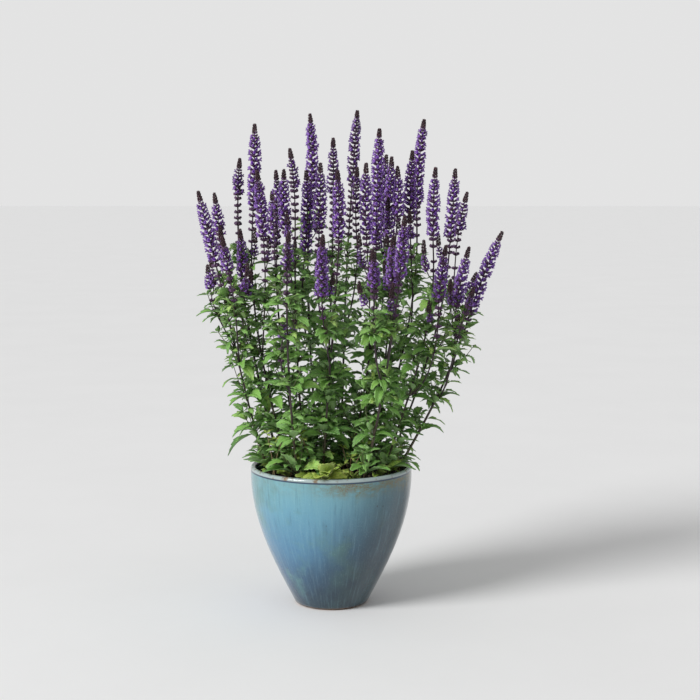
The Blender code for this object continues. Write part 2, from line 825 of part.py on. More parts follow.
def build_spike(name, crest, finish, draw):
    """A flower spike: a square core drawn out into florets whorl by whorl, and a cone of buds on top."""
    length = crest.length()
    tip_length = min(SPIKE_TIP_LENGTH, SPIKE_TIP_MOST * length)
    bm = bmesh.new()

    def ring(height, radius, turn):
        share = height / length
        turned_crest = crest._replace(facing=turned(crest.facing, turn))
        return [bm.verts.new(p) for p in square(turned_crest, share, radius, crest.at(share))]

    last = ring(SPIKE_GAP, SHOOT_RADIUS_TOP, 0.0)
    bm.faces.new(last)
    below = SPIKE_GAP
    florets = []
    for number, (low, high, reach) in enumerate(whorls(length - tip_length)):
        turn = number * math.pi / 4
        if low > below:
            start = ring(low, SPIKE_CORE * 0.8, turn)
            side_faces(bm, last, start)
            last = start
        end = ring(high, SPIKE_CORE, turn + math.pi / 4)
        florets.append((side_faces(bm, last, end), (low + high) / 2 / length, reach))
        last, below = end, high
    bulge = ring(length - tip_length * (1.0 - SPIKE_TIP_BULGE), SPIKE_TIP_RADIUS, turn + math.pi / 4)
    side_faces(bm, last, bulge)
    tip = bm.verts.new(crest.at(1.0))
    for k in range(4):
        bm.faces.new((bulge[k], bulge[(k + 1) % 4], tip))
    for faces, share, reach in florets:
        draw_out_florets(bm, faces, crest, share, reach, draw)
    add_object(name, bm, finish)


def main():
    for obj in list(bpy.data.objects):
        bpy.data.objects.remove(obj)
    glaze = material("blue_glaze", (0.13, 0.30, 0.42), 0.18)
    dark_compost = material("dark_compost", (0.035, 0.024, 0.017), 0.95)
    leaf_green = material("leaf_green", (0.10, 0.26, 0.06), 0.55)
    violet = material("violet_bloom", (0.13, 0.055, 0.36), 0.60)
    plan = plan_plant()
    build_pot(glaze)
    build_soil(plan, dark_compost)
    for number, shoots in enumerate(plan, start=1):
        build_stem(f"leafy_stem_{number:02d}", shoots[0], leaf_green)
    spikes = [shoot.crest for shoots in plan for shoot in shoots]
    for number, crest in enumerate(spikes, start=1):
        build_spike(f"flower_spike_{number:02d}", crest, violet, random.Random(900 + number))


main()
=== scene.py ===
"""Perennial salvia in a glazed stoneware pot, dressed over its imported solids.

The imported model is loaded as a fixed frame. Where every stem, leaf and flower spike grows is then worked
out by the rules that its solids follow, so each dressed piece stands in the room of the solid it replaces:
a lathed and glazed pot, a bed of compost, stems with their leaves, and spikes built floret by floret.

Lengths are in metres. X runs to the right, Y away from the viewer and Z up.
"""

import logging
import math
import random
from dataclasses import dataclass, field
from enum import Enum
from typing import NamedTuple

import bpy
import numpy as np
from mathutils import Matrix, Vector, noise


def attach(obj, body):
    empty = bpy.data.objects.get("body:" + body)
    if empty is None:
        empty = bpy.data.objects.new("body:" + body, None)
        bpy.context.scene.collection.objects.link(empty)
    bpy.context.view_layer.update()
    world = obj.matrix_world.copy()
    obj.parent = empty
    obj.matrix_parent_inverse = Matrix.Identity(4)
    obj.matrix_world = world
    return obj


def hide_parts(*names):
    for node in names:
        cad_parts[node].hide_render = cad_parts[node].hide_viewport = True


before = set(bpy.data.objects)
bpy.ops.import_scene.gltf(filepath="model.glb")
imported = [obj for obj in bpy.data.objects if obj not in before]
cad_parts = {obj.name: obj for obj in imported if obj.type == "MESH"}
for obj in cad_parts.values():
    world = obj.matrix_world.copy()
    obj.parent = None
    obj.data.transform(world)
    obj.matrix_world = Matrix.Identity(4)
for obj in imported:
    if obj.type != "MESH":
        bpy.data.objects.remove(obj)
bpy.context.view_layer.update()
log = logging.getLogger("salvia")

MM = 0.001
EYE = Vector((0.033, -2.6, 0.746))
EAST = Vector((1.0, 0.0, 0.0))

# The steps in which a curve is measured and searched, and the outline of every leaf.
MEASURES = 24
HALVINGS = 40
SLENDERNESS = 0.195
LEAF_BELLY = 0.74
LEAF_FULLNESS = 0.86
LEAF_NECK = 0.10


# Meshes


class Surface(NamedTuple):
    """A closed surface: its points, its faces (four corners, or three and -1), its pattern and which side."""

    points: np.ndarray
    faces: np.ndarray
    uv: np.ndarray
    under: np.ndarray


def round_ways(count: int) -> np.ndarray:
    """Angles evenly round a circle."""
    return np.linspace(0, 2 * np.pi, count, endpoint=False)


def circle(radius: np.ndarray | float, height: float, ways: np.ndarray) -> np.ndarray:
    """Points round Z at these angles, out at a radius and up at a height."""
    return np.stack([radius * np.cos(ways), radius * np.sin(ways), np.full(len(ways), height)], -1)


def tube(rings: np.ndarray, along: np.ndarray) -> Surface:
    """A closed tube through rings of points.

    Args:
        rings: Points as (rings, sides, 3), anticlockwise round the way the tube runs.
        along: One pattern coordinate for each ring.

    Returns:
        The tube with a fan over each end.
    """
    count, sides = rings.shape[:2]
    grid = np.arange(count * sides).reshape(count, sides)
    after = np.roll(grid, -1, axis=1)
    walls = np.stack([grid[:-1], after[:-1], after[1:], grid[1:]], -1).reshape(-1, 4)
    blank = np.full(sides, -1)
    foot = np.stack([np.full(sides, grid.size), after[0], grid[0], blank], -1)
    crown = np.stack([np.full(sides, grid.size + 1), grid[-1], after[-1], blank], -1)
    points = np.concatenate([rings.reshape(-1, 3), rings[:1].mean(1), rings[-1:].mean(1)])
    uv = np.stack([np.repeat(along, sides), np.tile(np.arange(sides) / sides, count)], -1)
    uv = np.concatenate([uv, [[along[0], 0.5], [along[-1], 0.5]]])
    return Surface(points, np.concatenate([walls, foot, crown]), uv, np.zeros(len(points)))


def blade(top: np.ndarray, thickness: float) -> Surface:
    """A closed blade whose upper and under side meet all round its edge.

    Args:
        top: Points of the upper side as (rows, columns, 3), columns running to the left of the rows.
        thickness: Thickness at the middle.

    Returns:
        The blade, with the pattern running root to tip and side to side.
    """
    rows, columns = top.shape[:2]
    normal = np.cross(np.gradient(top, axis=0), np.gradient(top, axis=1))
    normal /= np.maximum(np.linalg.norm(normal, axis=2, keepdims=True), 1e-12)
    grid = np.arange(rows * columns).reshape(rows, columns)
    back = grid.copy()
    back[1:-1, 1:-1] = grid.size + np.arange((rows - 2) * (columns - 2)).reshape(rows - 2, columns - 2)

    def quads(cells: np.ndarray) -> np.ndarray:
        """The four corners of each cell of the grid."""
        return np.stack([cells[:-1, :-1], cells[1:, :-1], cells[1:, 1:], cells[:-1, 1:]], -1).reshape(-1, 4)

    inner = (top - normal * thickness)[1:-1, 1:-1].reshape(-1, 3)
    share, side = np.meshgrid(np.linspace(0, 1, rows), np.linspace(0, 1, columns), indexing="ij")
    uv = np.stack([share, side], -1)
    edge = np.zeros((rows, columns))
    edge[[0, -1]] = edge[:, [0, -1]] = 0.5
    return Surface(
        np.concatenate([top.reshape(-1, 3), inner]),
        np.concatenate([quads(grid), quads(back)[:, ::-1]]),
        np.concatenate([uv.reshape(-1, 2), uv[1:-1, 1:-1].reshape(-1, 2)]),
        np.concatenate([edge.ravel(), np.ones(len(inner))]),
    )


class PieceMesh:
    """The mesh of one piece, gathered surface by surface."""

    def __init__(self) -> None:
        """Starts with nothing in it."""
        self.parts: list[tuple] = []
        self.count = 0

    def add(self, surface: Surface, tone: float = 0.5, slot: int = 0) -> None:
        """Adds one surface where it is."""
        self.add_copies(surface, surface.points[None], np.array([tone]), slot)

    def add_copies(self, surface: Surface, places: np.ndarray, tones: np.ndarray, slot: int = 0) -> None:
        """Adds copies of a surface.

        Args:
            surface: What is copied.
            places: The points of every copy, as (copies, points, 3).
            tones: The tone of each copy, from 0 to 1.
            slot: Which of the piece's finishes the copies wear.
        """
        copies, points = places.shape[:2]
        starts = (self.count + points * np.arange(copies))[:, None, None]
        faces = np.where(surface.faces[None] < 0, -1, surface.faces[None] + starts).reshape(-1, 4)
        self.parts.append((
            places.reshape(-1, 3), faces, np.tile(surface.uv, (copies, 1)), np.tile(surface.under, copies),
            np.repeat(tones, points), np.full(len(faces), slot),
        ))
        self.count += copies * points

    def make(self, name: str, finishes: list[bpy.types.Material]) -> bpy.types.Object:
        """The finished piece, smoothly shaded.

        Args:
            name: The piece's name.
            finishes: Its materials, in the order of the slots.

        Returns:
            The object, linked to the scene.
        """
        points, faces, uv, under, tone, slots = (np.concatenate(part) for part in zip(*self.parts))
        used = faces >= 0
        loops, sizes = faces[used], used.sum(1)
        mesh = bpy.data.meshes.new(name)
        mesh.vertices.add(len(points))
        mesh.vertices.foreach_set("co", points.astype(np.float32).ravel())
        mesh.loops.add(len(loops))
        mesh.loops.foreach_set("vertex_index", loops.astype(np.int32))
        mesh.polygons.add(len(sizes))
        mesh.polygons.foreach_set("loop_start", (np.cumsum(sizes) - sizes).astype(np.int32))
        mesh.polygons.foreach_set("material_index", slots.astype(np.int32))
        mesh.update(calc_edges=True)
        pattern = mesh.uv_layers.new(name="pattern")
        pattern.data.foreach_set("uv", uv[loops].astype(np.float32).ravel())
        for label, values in (("tone", tone), ("under", under)):
            layer = mesh.attributes.new(label, "FLOAT", "POINT")
            layer.data.foreach_set("value", values.astype(np.float32))
        mesh.shade_smooth()
        for finish in finishes:
            mesh.materials.append(finish)
        made = bpy.data.objects.new(name, mesh)
        bpy.context.scene.collection.objects.link(made)
        return made


# How the plant grows


def seen(place_mm: tuple) -> Vector:
    """The point that is seen at (x, z) against the pot's middle plane and lies y behind it."""
    x, z, y = (value * MM for value in place_mm)
    on_plane = Vector((x, 0.0, z))
    return EYE + (on_plane - EYE) * ((y - EYE.y) / -EYE.y)


def level(vector: Vector) -> Vector:
    """The vector laid level, one metre long."""
    return Vector((vector.x, vector.y, 0.0)).normalized()


def turned(vector: Vector, angle: float) -> Vector:
    """A level vector turned about Z."""
    c, s = math.cos(angle), math.sin(angle)
    return Vector((vector.x * c - vector.y * s, vector.x * s + vector.y * c, 0.0))


def blend(low: float, high: float, share: float) -> float:
    """The value at this share of the way from low to high."""
    return low + (high - low) * share


def clamped(value: float) -> float:
    """The value kept between 0 and 1."""
    return min(1.0, max(0.0, value))


class Spike(NamedTuple):
    """A flower spike in millimetres: tip and foot as (x seen, z seen, y), and how high its shoot leaves."""

    tip: tuple
    foot: tuple
    leaves_at: float = 0.0


class Stem(NamedTuple):
    """A stem: where it stands in the compost in millimetres, and its spikes, the one at its own top first."""

    stand: tuple
    spikes: tuple


class SetLeaf(NamedTuple):
    """A leaf that stands out: its stem's number, its height and length in millimetres, and how it lies."""

    stem: int
    height: float
    heading: float
    rise: float
    droop: float
    length: float


STEMS = (
    Stem((-108, -12), (
        Spike((-230, 727, -45), (-198, 590, -34)),
        Spike((-202, 723, 22), (-191, 625, 14), 468),
        Spike((-189, 649, -92), (-174, 565, -76), 424),
        Spike((-215, 598, 4), (-209, 548, 2), 446),
    )),
    Stem((-90, 26), (
        Spike((-157, 783, 84), (-161, 664, 68)),
        Spike((-158, 661, -16), (-155, 556, -8), 440),
    )),
    Stem((-74, -24), (
        Spike((-131, 843, 40), (-137, 650, 16)),
        Spike((-128, 763, -66), (-115, 600, -48), 430),
    )),
    Stem((-58, 58), (
        Spike((-102, 727, 168), (-97, 600, 138)),
        Spike((-95, 763, 112), (-94, 625, 92), 462),
    )),
    Stem((-42, 4), (
        Spike((-71, 800, -14), (-62, 672, -8)),
        Spike((-81, 764, 50), (-78, 645, 38), 496),
    )),
    Stem((-56, -74), (
        Spike((-73, 656, -178), (-77, 560, -150)),
        Spike((-84, 510, -106), (-86, 462, -102), 392),
    )),
    Stem((-26, 86), (
        Spike((-36, 860, 214), (-36, 690, 176)),
        Spike((-43, 763, 88), (-47, 600, 80), 440),
    )),
    Stem((-10, 34), (
        Spike((4, 819, 62), (3, 640, 50)),
        Spike((-18, 776, 22), (-23, 612, 18), 470),
    )),
    Stem((-14, -52), (
        Spike((11, 763, -84), (12, 610, -68)),
        Spike((-14, 651, -160), (-16, 534, -134), 400),
    )),
    Stem((14, 92), (
        Spike((46, 867, 232), (30, 640, 182)),
        Spike((46, 768, 140), (45, 640, 124), 470),
    )),
    Stem((30, -12), (
        Spike((84, 836, 16), (78, 610, 6)),
        Spike((61, 776, -58), (64, 605, -44), 440),
    )),
    Stem((44, 66), (
        Spike((96, 790, 164), (92, 630, 132)),
        Spike((105, 787, 88), (99, 604, 74), 452),
    )),
    Stem((56, -76), (
        Spike((128, 685, -168), (115, 538, -134)),
        Spike((73, 625, -176), (75, 534, -150), 398),
    )),
    Stem((66, 10), (
        Spike((115, 769, 34), (114, 664, 26)),
        Spike((109, 649, -76), (108, 552, -58), 410),
    )),
    Stem((76, 52), (
        Spike((161, 851, 134), (149, 660, 104)),
        Spike((141, 797, 62), (138, 640, 52), 462),
    )),
    Stem((88, -40), (
        Spike((181, 768, -70), (178, 615, -58)),
        Spike((200, 633, -112), (187, 502, -92), 372),
    )),
    Stem((98, 26), (
        Spike((215, 766, 66), (204, 605, 52)),
        Spike((236, 725, 6), (216, 604, 6), 430),
    )),
    Stem((112, -8), (
        Spike((298, 658, -30), (236, 494, -20)),
        Spike((240, 630, -58), (218, 520, -50), 412),
        Spike((253, 585, 34), (234, 530, 28), 464),
        Spike((249, 560, -84), (230, 500, -74), 358),
    )),
)

SET_LEAVES = (
    SetLeaf(stem=1, height=312, heading=188, rise=-8, droop=62, length=66),
    SetLeaf(stem=6, height=250, heading=204, rise=34, droop=52, length=64),
    SetLeaf(stem=9, height=252, heading=262, rise=42, droop=72, length=62),
    SetLeaf(stem=13, height=250, heading=318, rise=44, droop=58, length=60),
    SetLeaf(stem=16, height=252, heading=338, rise=36, droop=62, length=60),
)


class Curve(NamedTuple):
    """A cubic curve, with a direction that one side of what grows along it keeps facing."""

    points: tuple
    facing: Vector

    def at(self, share: float) -> Vector:
        """The point at this share of the curve."""
        a, b, c, d = self.points
        rest = 1.0 - share
        near = a * rest**3 + b * (3 * rest * rest * share)
        return near + c * (3 * rest * share * share) + d * share**3

    def along(self, share: float) -> Vector:
        """The way the curve runs at this share of it."""
        a, b, c, d = self.points
        rest = 1.0 - share
        slope = (b - a) * (rest * rest) + (c - b) * (2 * rest * share) + (d - c) * (share * share)
        return slope.normalized()

    def length(self) -> float:
        """The length of the whole curve."""
        steps = [self.at(i / MEASURES) for i in range(MEASURES + 1)]
        return sum((q - p).length for p, q in zip(steps, steps[1:]))

    def spread(self, step: float) -> list[Vector]:
        """Points along the curve about a step apart."""
        count = max(3, round(self.length() / step))
        return [self.at(i / count) for i in range(count + 1)]

    def sides(self, share: float) -> tuple[Vector, Vector]:
        """Two directions across the curve, square to it and to each other."""
        along = self.along(share)
        across = (self.facing - along * self.facing.dot(along)).normalized()
        return across, along.cross(across)

    def share_at_height(self, height: float) -> float:
        """The share of a rising curve at which it reaches a height."""
        low, high = 0.0, 1.0
        for _ in range(HALVINGS):
            middle = (low + high) / 2
            if self.at(middle).z < height:
                low = middle
            else:
                high = middle
        return (low + high) / 2

    def frame_at(self, share: float) -> tuple[np.ndarray, np.ndarray]:
        """The place at a share, and the two directions across and the one along, as rows."""
        return np.array(self.at(share)), np.array([*self.sides(share), self.along(share)])


@dataclass(frozen=True)
class PotShape:
    """The sizes of the pot and of the compost in it."""

    height: float = 0.247
    rim_radius: float = 0.1415
    base_radius: float = 0.0630
    shoulder: float = 0.236
    wall: float = 0.0085
    floor: float = 0.012
    rim_clearance: float = 0.003
    soil_top: float = 0.230
    soil_mound: float = 0.006
    soil_lump: float = 0.0028
    soil_gap: float = 0.0004

    def radius(self, height: float) -> float:
        """The outer radius at a height: a quarter of a sine wave from the base to the shoulder."""
        share = clamped(height / self.shoulder)
        return blend(self.base_radius, self.rim_radius, math.sin(share * math.pi / 2))

    def clears(self, points: np.ndarray, clearance: float) -> bool:
        """Whether points stay over the compost, over the rim or outside the wall."""
        radius = np.hypot(points[:, 0], points[:, 1])
        height = points[:, 2]
        over_soil = height > self.soil_top + self.soil_mound + self.soil_lump + clearance
        over_rim = height > self.height + self.rim_clearance
        outside = radius > self.rim_radius + self.rim_clearance
        inside = radius < self.rim_radius - self.wall - self.rim_clearance
        return bool(np.all(outside | over_rim | (inside & over_soil)))


@dataclass
class Leaf:
    """A leaf's root, the level way it points, and how it rises, droops, turns over and folds, in radians."""

    root: Vector
    heading: Vector
    rise: float
    droop: float
    turn: float
    fold: float
    length: float
    half_width: float
    petiole_share: float = 0.12
    sampled_from: float = 0.06

    def outline(self, share: np.ndarray) -> np.ndarray:
        """Half the blade's width at shares of its length, as a share of the most."""
        past_stalk = np.asarray(share, float) - self.petiole_share
        along = np.clip(past_stalk / (1.0 - self.petiole_share), 0.0, 1.0)
        flare = np.clip(np.sin(np.pi * along**LEAF_BELLY), 0.0, 1.0) ** LEAF_FULLNESS
        return np.maximum(flare, LEAF_NECK * (1.0 - along))

    def points(self, share: np.ndarray, across: np.ndarray, raised: np.ndarray | float = 0.0) -> np.ndarray:
        """Points of the blade.

        Args:
            share: Shares of the way from root to tip.
            across: From -1 at the right edge to 1 at the left one.
            raised: How far each point stands off the blade's own fold.

        Returns:
            The points, with one more axis than share has.
        """
        share = np.asarray(share, float)
        angle = self.rise - self.droop * share
        forward = (np.sin(self.rise) - np.sin(angle)) / self.droop
        upward = (np.cos(angle) - np.cos(self.rise)) / self.droop
        heading = np.array(self.heading)
        up = np.array((0.0, 0.0, 1.0))
        side = np.cross(up, heading)
        rib = np.array(self.root) + self.length * (forward[..., None] * heading + upward[..., None] * up)
        above = -np.sin(angle)[..., None] * heading + np.cos(angle)[..., None] * up
        turn = self.turn * np.sqrt(share)[..., None]
        left = np.cos(turn) * side + np.sin(turn) * above
        normal = np.cos(turn) * above - np.sin(turn) * side
        width = (np.asarray(across, float) * self.half_width)[..., None]
        lift = np.abs(width) * math.sin(self.fold) + np.asarray(raised)[..., None]
        return rib + width * math.cos(self.fold) * left + lift * normal

    def samples(self, step: float) -> np.ndarray:
        """Points spread over the blade, no further apart than a step."""
        rows = max(4, math.ceil(self.length / step))
        columns = 1 + 2 * max(1, math.ceil(self.half_width / step))
        shares = np.linspace(self.sampled_from, 1.0, rows)
        share, across = np.meshgrid(shares, np.linspace(-1.0, 1.0, columns))
        return self.points(share.ravel(), (across * self.outline(share)).ravel())


def laid_leaf(root: Vector, heading: Vector, lie: list, length: float, widen: float = 1.0) -> Leaf:
    """A leaf with its rise, droop, turn and fold in degrees, its upper side looking out of the plant."""
    rise, droop, turn, fold = (math.radians(angle) for angle in lie)
    outward = -turned(heading, math.pi / 2).dot(level(root)) * turn
    return Leaf(root, heading, rise, droop, outward, fold, length, length * SLENDERNESS * widen)


class LeafRange(NamedTuple):
    """Limits that a leaf is drawn between: its size, its rise, droop, turn and fold in degrees, its width."""

    sizes: tuple
    rise: tuple
    droop: tuple
    turn: tuple
    fold: tuple
    widths: tuple

    def leaf(self, root: Vector, heading: Vector, length: float, draw: random.Random) -> Leaf:
        """One leaf within the limits."""
        length *= draw.uniform(*self.sizes)
        lie = [draw.uniform(*limits) for limits in (self.rise, self.droop, self.turn, self.fold)]
        return laid_leaf(root, heading, lie, length, draw.uniform(*self.widths))


class Crowd:
    """What already fills the space round the plant, as points that each keep others a distance off."""

    cell = 0.024
    root_margin = 0.001

    def __init__(self, root_zone: float) -> None:
        """Starts empty; what grows within the root zone of a leaf's root never stops that leaf."""
        self.cells: dict[tuple, list] = {}
        self.root_zone = root_zone
        self.widest = 0.0

    def add(self, points: np.ndarray | list, radius: float) -> None:
        """Adds points that each keep others a radius off."""
        points = np.asarray(points, float).reshape(-1, 3)
        self.widest = max(self.widest, radius)
        for key, point in zip(map(tuple, np.floor(points / self.cell).astype(int)), points):
            self.cells.setdefault(key, []).append((*point, radius))

    def near(self, low: np.ndarray, high: np.ndarray) -> np.ndarray:
        """What stands in the cells between two corners, as rows of a point and its radius."""
        first, last = (np.floor(corner / self.cell).astype(int) for corner in (low, high))
        found = []
        for x in range(first[0], last[0] + 1):
            for y in range(first[1], last[1] + 1):
                for z in range(first[2], last[2] + 1):
                    found += self.cells.get((x, y, z), ())
        return np.array(found).reshape(-1, 4)

    def lets_in(self, points: np.ndarray, radius: float, root: Vector) -> bool:
        """Whether these points touch nothing, apart from what grows near their root."""
        reach = radius + self.widest
        low, high = points.min(0) - reach, points.max(0) + reach
        found = self.near(low, high)
        found = found[((found[:, :3] > low) & (found[:, :3] < high)).all(1)]
        others, radii = found[:, :3], found[:, 3]
        zone = np.maximum(self.root_zone, radii + self.root_margin)
        apart = np.linalg.norm(others - np.array(root), axis=1) > zone
        others, radii = others[apart], radii[apart]
        if not len(others):
            return True
        gaps = np.linalg.norm(points[:, None] - others[None], axis=2) - radii[None]
        return bool(gaps.min() > radius)


@dataclass
class Joint:
    """A leaf joint: its share along the curve, the two faces its leaves grow from, and any side shoot."""

    share: float
    faces: tuple
    leaves: dict = field(default_factory=dict)
    side: "Shoot | None" = None


@dataclass
class Shoot:
    """A stem or side shoot with its spike. A stem has no face that it grows from."""

    curve: Curve
    crest: Curve
    radius_foot: float
    radius_top: float
    face: int | None = None
    joints: list[Joint] = field(default_factory=list)

    def radius(self, share: float) -> float:
        """The radius out to the corners at a share of the way up."""
        return blend(self.radius_foot, self.radius_top, share)

    def face_way(self, share: float, face: int) -> Vector:
        """The way that one of the four flat faces looks."""
        across, third = self.curve.sides(share)
        return (third, -across, -third, across)[face]

    def face_middle(self, share: float, face: int) -> Vector:
        """The middle of one of the four flat faces."""
        flat = self.radius(share) * math.cos(math.pi / 4)
        return self.curve.at(share) + self.face_way(share, face) * flat


@dataclass(frozen=True)
class Planting:
    """The rules by which the stems, side shoots, spikes and leaves of the whole plant are laid out."""

    pot: PotShape = PotShape()
    stem_radii: tuple = (0.0024, 0.0016)
    shoot_radii: tuple = (0.0017, 0.0013)
    joint_height: float = 0.0032
    first_leaves: float = 0.014
    leaf_steps: tuple = (0.062, 0.052)
    leaf_step_least: float = 0.031
    bare_stem: float = 0.030
    shoot_leaves_at: float = 0.62
    shoot_leaf_least: float = 0.060
    leaf_lengths: tuple = (0.062, 0.031)
    shoot_leaf_length: float = 0.027
    swing: tuple = (-35, 35)
    leaf: LeafRange = LeafRange((0.82, 1.18), (2, 60), (48, 118), (20, 62), (8, 22), (0.88, 1.12))
    tries: int = 16
    shrink: float = 0.4
    clearance: float = 0.0017
    sample_step: float = 0.0034
    root_zone: float = 0.009
    stem_step: float = 0.003
    spike_step: float = 0.004
    spike_reach: float = 0.0098
    spike_bow: float = 0.035
    stem_pull: float = 0.36
    stem_outward: float = 0.03
    shoot_start: float = 1.5
    shoot_way: tuple = (0.75, 0.65)
    shoot_pull: float = 0.22
    spike_pull: float = 0.34
    stem_seed: int = 100
    leaf_seed: int = 500

    def spike_curve(self, spike: Spike, facing: Vector, draw: random.Random) -> Curve:
        """A spike's own line, bowed a little to one side."""
        foot, tip = seen(spike.foot), seen(spike.tip)
        sideways = Vector((draw.uniform(-1, 1), draw.uniform(-1, 1), 0.0))
        bow = sideways * (self.spike_bow * (tip - foot).length)
        return Curve((foot, foot.lerp(tip, 1 / 3) + bow, foot.lerp(tip, 2 / 3) + bow, tip), facing)

    def stem_curve(self, stand: tuple, crest: Curve, facing: Vector) -> Curve:
        """From the compost to the foot of the spike, which it meets in the spike's own direction."""
        start = Vector((stand[0] * MM, stand[1] * MM, self.pot.soil_top))
        foot = crest.at(0.0)
        reach = (foot - start).length
        first = start.lerp(foot, self.stem_pull) + level(start) * (self.stem_outward * reach)
        second = foot - crest.along(0.0) * (self.spike_pull * reach)
        return Curve((start, first, second, foot), facing)

    def joint_heights(self, top: float, branches: list[float]) -> list[float]:
        """Heights of a stem's leaf joints: one where each side shoot leaves, and others between them."""
        soil = self.pot.soil_top
        heights = list(branches)
        height = soil + self.first_leaves
        while height < top:
            if all(abs(height - branch) > self.leaf_step_least for branch in branches):
                heights.append(height)
            height += blend(*self.leaf_steps, (height - soil) / (top - soil))
        return sorted(heights)

    def side_shoot(self, main: Shoot, joint: Joint, spike: Spike, draw: random.Random) -> Shoot:
        """A side shoot from the face that looks most towards its spike, just above the joint's leaves."""
        start = main.curve.at(joint.share)
        towards = level(seen(spike.foot) - start)
        face = max(range(4), key=lambda k: main.face_way(joint.share, k).dot(towards))
        joint.faces = (face, (face + 2) % 4)
        outward = main.face_way(joint.share, face)
        upward = main.curve.along(joint.share)
        facing = upward.cross(outward)
        crest = self.spike_curve(spike, facing, draw)
        root = main.face_middle(joint.share, face) + upward * (self.joint_height * self.shoot_start)
        foot = crest.at(0.0)
        reach = (foot - root).length
        way = outward * self.shoot_way[0] + upward * self.shoot_way[1]
        first = root + way.normalized() * (self.shoot_pull * reach)
        second = foot - crest.along(0.0) * (self.spike_pull * reach)
        curve = Curve((root, first, second, foot), facing)
        joint.side = Shoot(curve, crest, *self.shoot_radii, face)
        if curve.length() > self.shoot_leaf_least:
            joint.side.joints.append(Joint(self.shoot_leaves_at, (0, 2)))
        return joint.side

    def plan_stem(self, stem: Stem, draw: random.Random) -> list[Shoot]:
        """A stem and its side shoots, with bare joints."""
        turn = draw.uniform(0.0, math.pi / 2)
        facing = Vector((math.cos(turn), math.sin(turn), 0.0))
        crest = self.spike_curve(stem.spikes[0], facing, draw)
        curve = self.stem_curve(stem.stand, crest, facing)
        main = Shoot(curve, crest, *self.stem_radii)
        branches = [spike.leaves_at * MM for spike in stem.spikes[1:]]
        for number, height in enumerate(self.joint_heights(curve.at(1.0).z - self.bare_stem, branches)):
            first = number % 2
            main.joints.append(Joint(curve.share_at_height(height), (first, first + 2)))
        shoots = [main]
        for spike in stem.spikes[1:]:
            free = [joint for joint in main.joints if joint.side is None]
            joint = min(free, key=lambda j: abs(curve.at(j.share).z - spike.leaves_at * MM))
            shoots.append(self.side_shoot(main, joint, spike, draw))
        return shoots

    def draw_leaf(self, shoot: Shoot, joint: Joint, face: int, length: float, draw: random.Random) -> Leaf:
        """One way that a leaf might grow from this face."""
        outward = level(shoot.face_way(joint.share, face))
        heading = turned(outward, math.radians(draw.uniform(*self.swing)))
        return self.leaf.leaf(shoot.face_middle(joint.share, face), heading, length, draw)

    def takes(self, leaf: Leaf, crowd: Crowd, clearance: float) -> bool:
        """Whether the leaf finds room, in which case its room is taken."""
        points = leaf.samples(self.sample_step)
        if self.pot.clears(points, clearance) and crowd.lets_in(points, clearance, leaf.root):
            crowd.add(points, clearance)
            return True
        return False

    def place_set_leaf(self, main: Shoot, chosen: SetLeaf, crowd: Crowd) -> None:
        """A leaf that stands out, on the joint and face nearest to the height and heading it is given."""
        joint = min(main.joints, key=lambda j: abs(main.curve.at(j.share).z - chosen.height * MM))
        heading = turned(EAST, math.radians(chosen.heading))
        face = max(joint.faces, key=lambda k: main.face_way(joint.share, k).dot(heading))
        lie = [chosen.rise, chosen.droop, self.leaf.turn[0], self.leaf.fold[1]]
        leaf = laid_leaf(main.face_middle(joint.share, face), heading, lie, chosen.length * MM)
        if self.takes(leaf, crowd, self.clearance):
            joint.leaves[face] = leaf

    def leaf_size(self, shoot: Shoot, joint: Joint) -> float:
        """The usual length of a leaf at this joint, which is less further up a stem."""
        if shoot.face is not None:
            return self.shoot_leaf_length
        soil = self.pot.soil_top
        rise = shoot.curve.at(joint.share).z - soil
        return blend(*self.leaf_lengths, rise / (shoot.curve.at(1.0).z - soil))

    def hang_leaf(self, shoot: Shoot, joint: Joint, face: int, crowd: Crowd, draw: random.Random) -> None:
        """Tries one leaf after another, each a little smaller, until one finds room."""
        for attempt in range(self.tries):
            shrink = 1.0 - self.shrink * attempt / self.tries
            leaf = self.draw_leaf(shoot, joint, face, self.leaf_size(shoot, joint) * shrink, draw)
            if self.takes(leaf, crowd, self.clearance):
                joint.leaves[face] = leaf
                return

    def grow(self) -> tuple[list[list[Shoot]], Crowd]:
        """Lays out the plant. Stems and spikes take their room before the leaves.

        Returns:
            For each stem its shoots, the stem itself first, and the room that is taken.
        """
        plan = [self.plan_stem(stem, random.Random(self.stem_seed + n)) for n, stem in enumerate(STEMS)]
        crowd = Crowd(self.root_zone)
        for shoots in plan:
            for shoot in shoots:
                crowd.add(shoot.curve.spread(self.stem_step), self.stem_radii[0])
                crowd.add(shoot.crest.spread(self.spike_step), self.spike_reach)
        for chosen in SET_LEAVES:
            self.place_set_leaf(plan[chosen.stem - 1][0], chosen, crowd)
        for number, shoots in enumerate(plan):
            draw = random.Random(self.leaf_seed + number)
            for shoot in shoots:
                for joint in shoot.joints:
                    for face in joint.faces:
                        if face not in joint.leaves:
                            self.hang_leaf(shoot, joint, face, crowd, draw)
        return plan, crowd


# Shader graphs


def rgba(colour: tuple) -> tuple:
    """The colour with full alpha."""
    return (*colour, 1.0)


def coloured(inputs: dict) -> dict:
    """The inputs of a node, every colour among them with full alpha."""
    return {key: rgba(value) if isinstance(value, tuple) else value for key, value in inputs.items()}


class Wash(NamedTuple):
    """A colour laid over another one as a value goes from low to high, up to a strength."""

    colour: tuple
    low: float
    high: float
    strength: float = 1.0


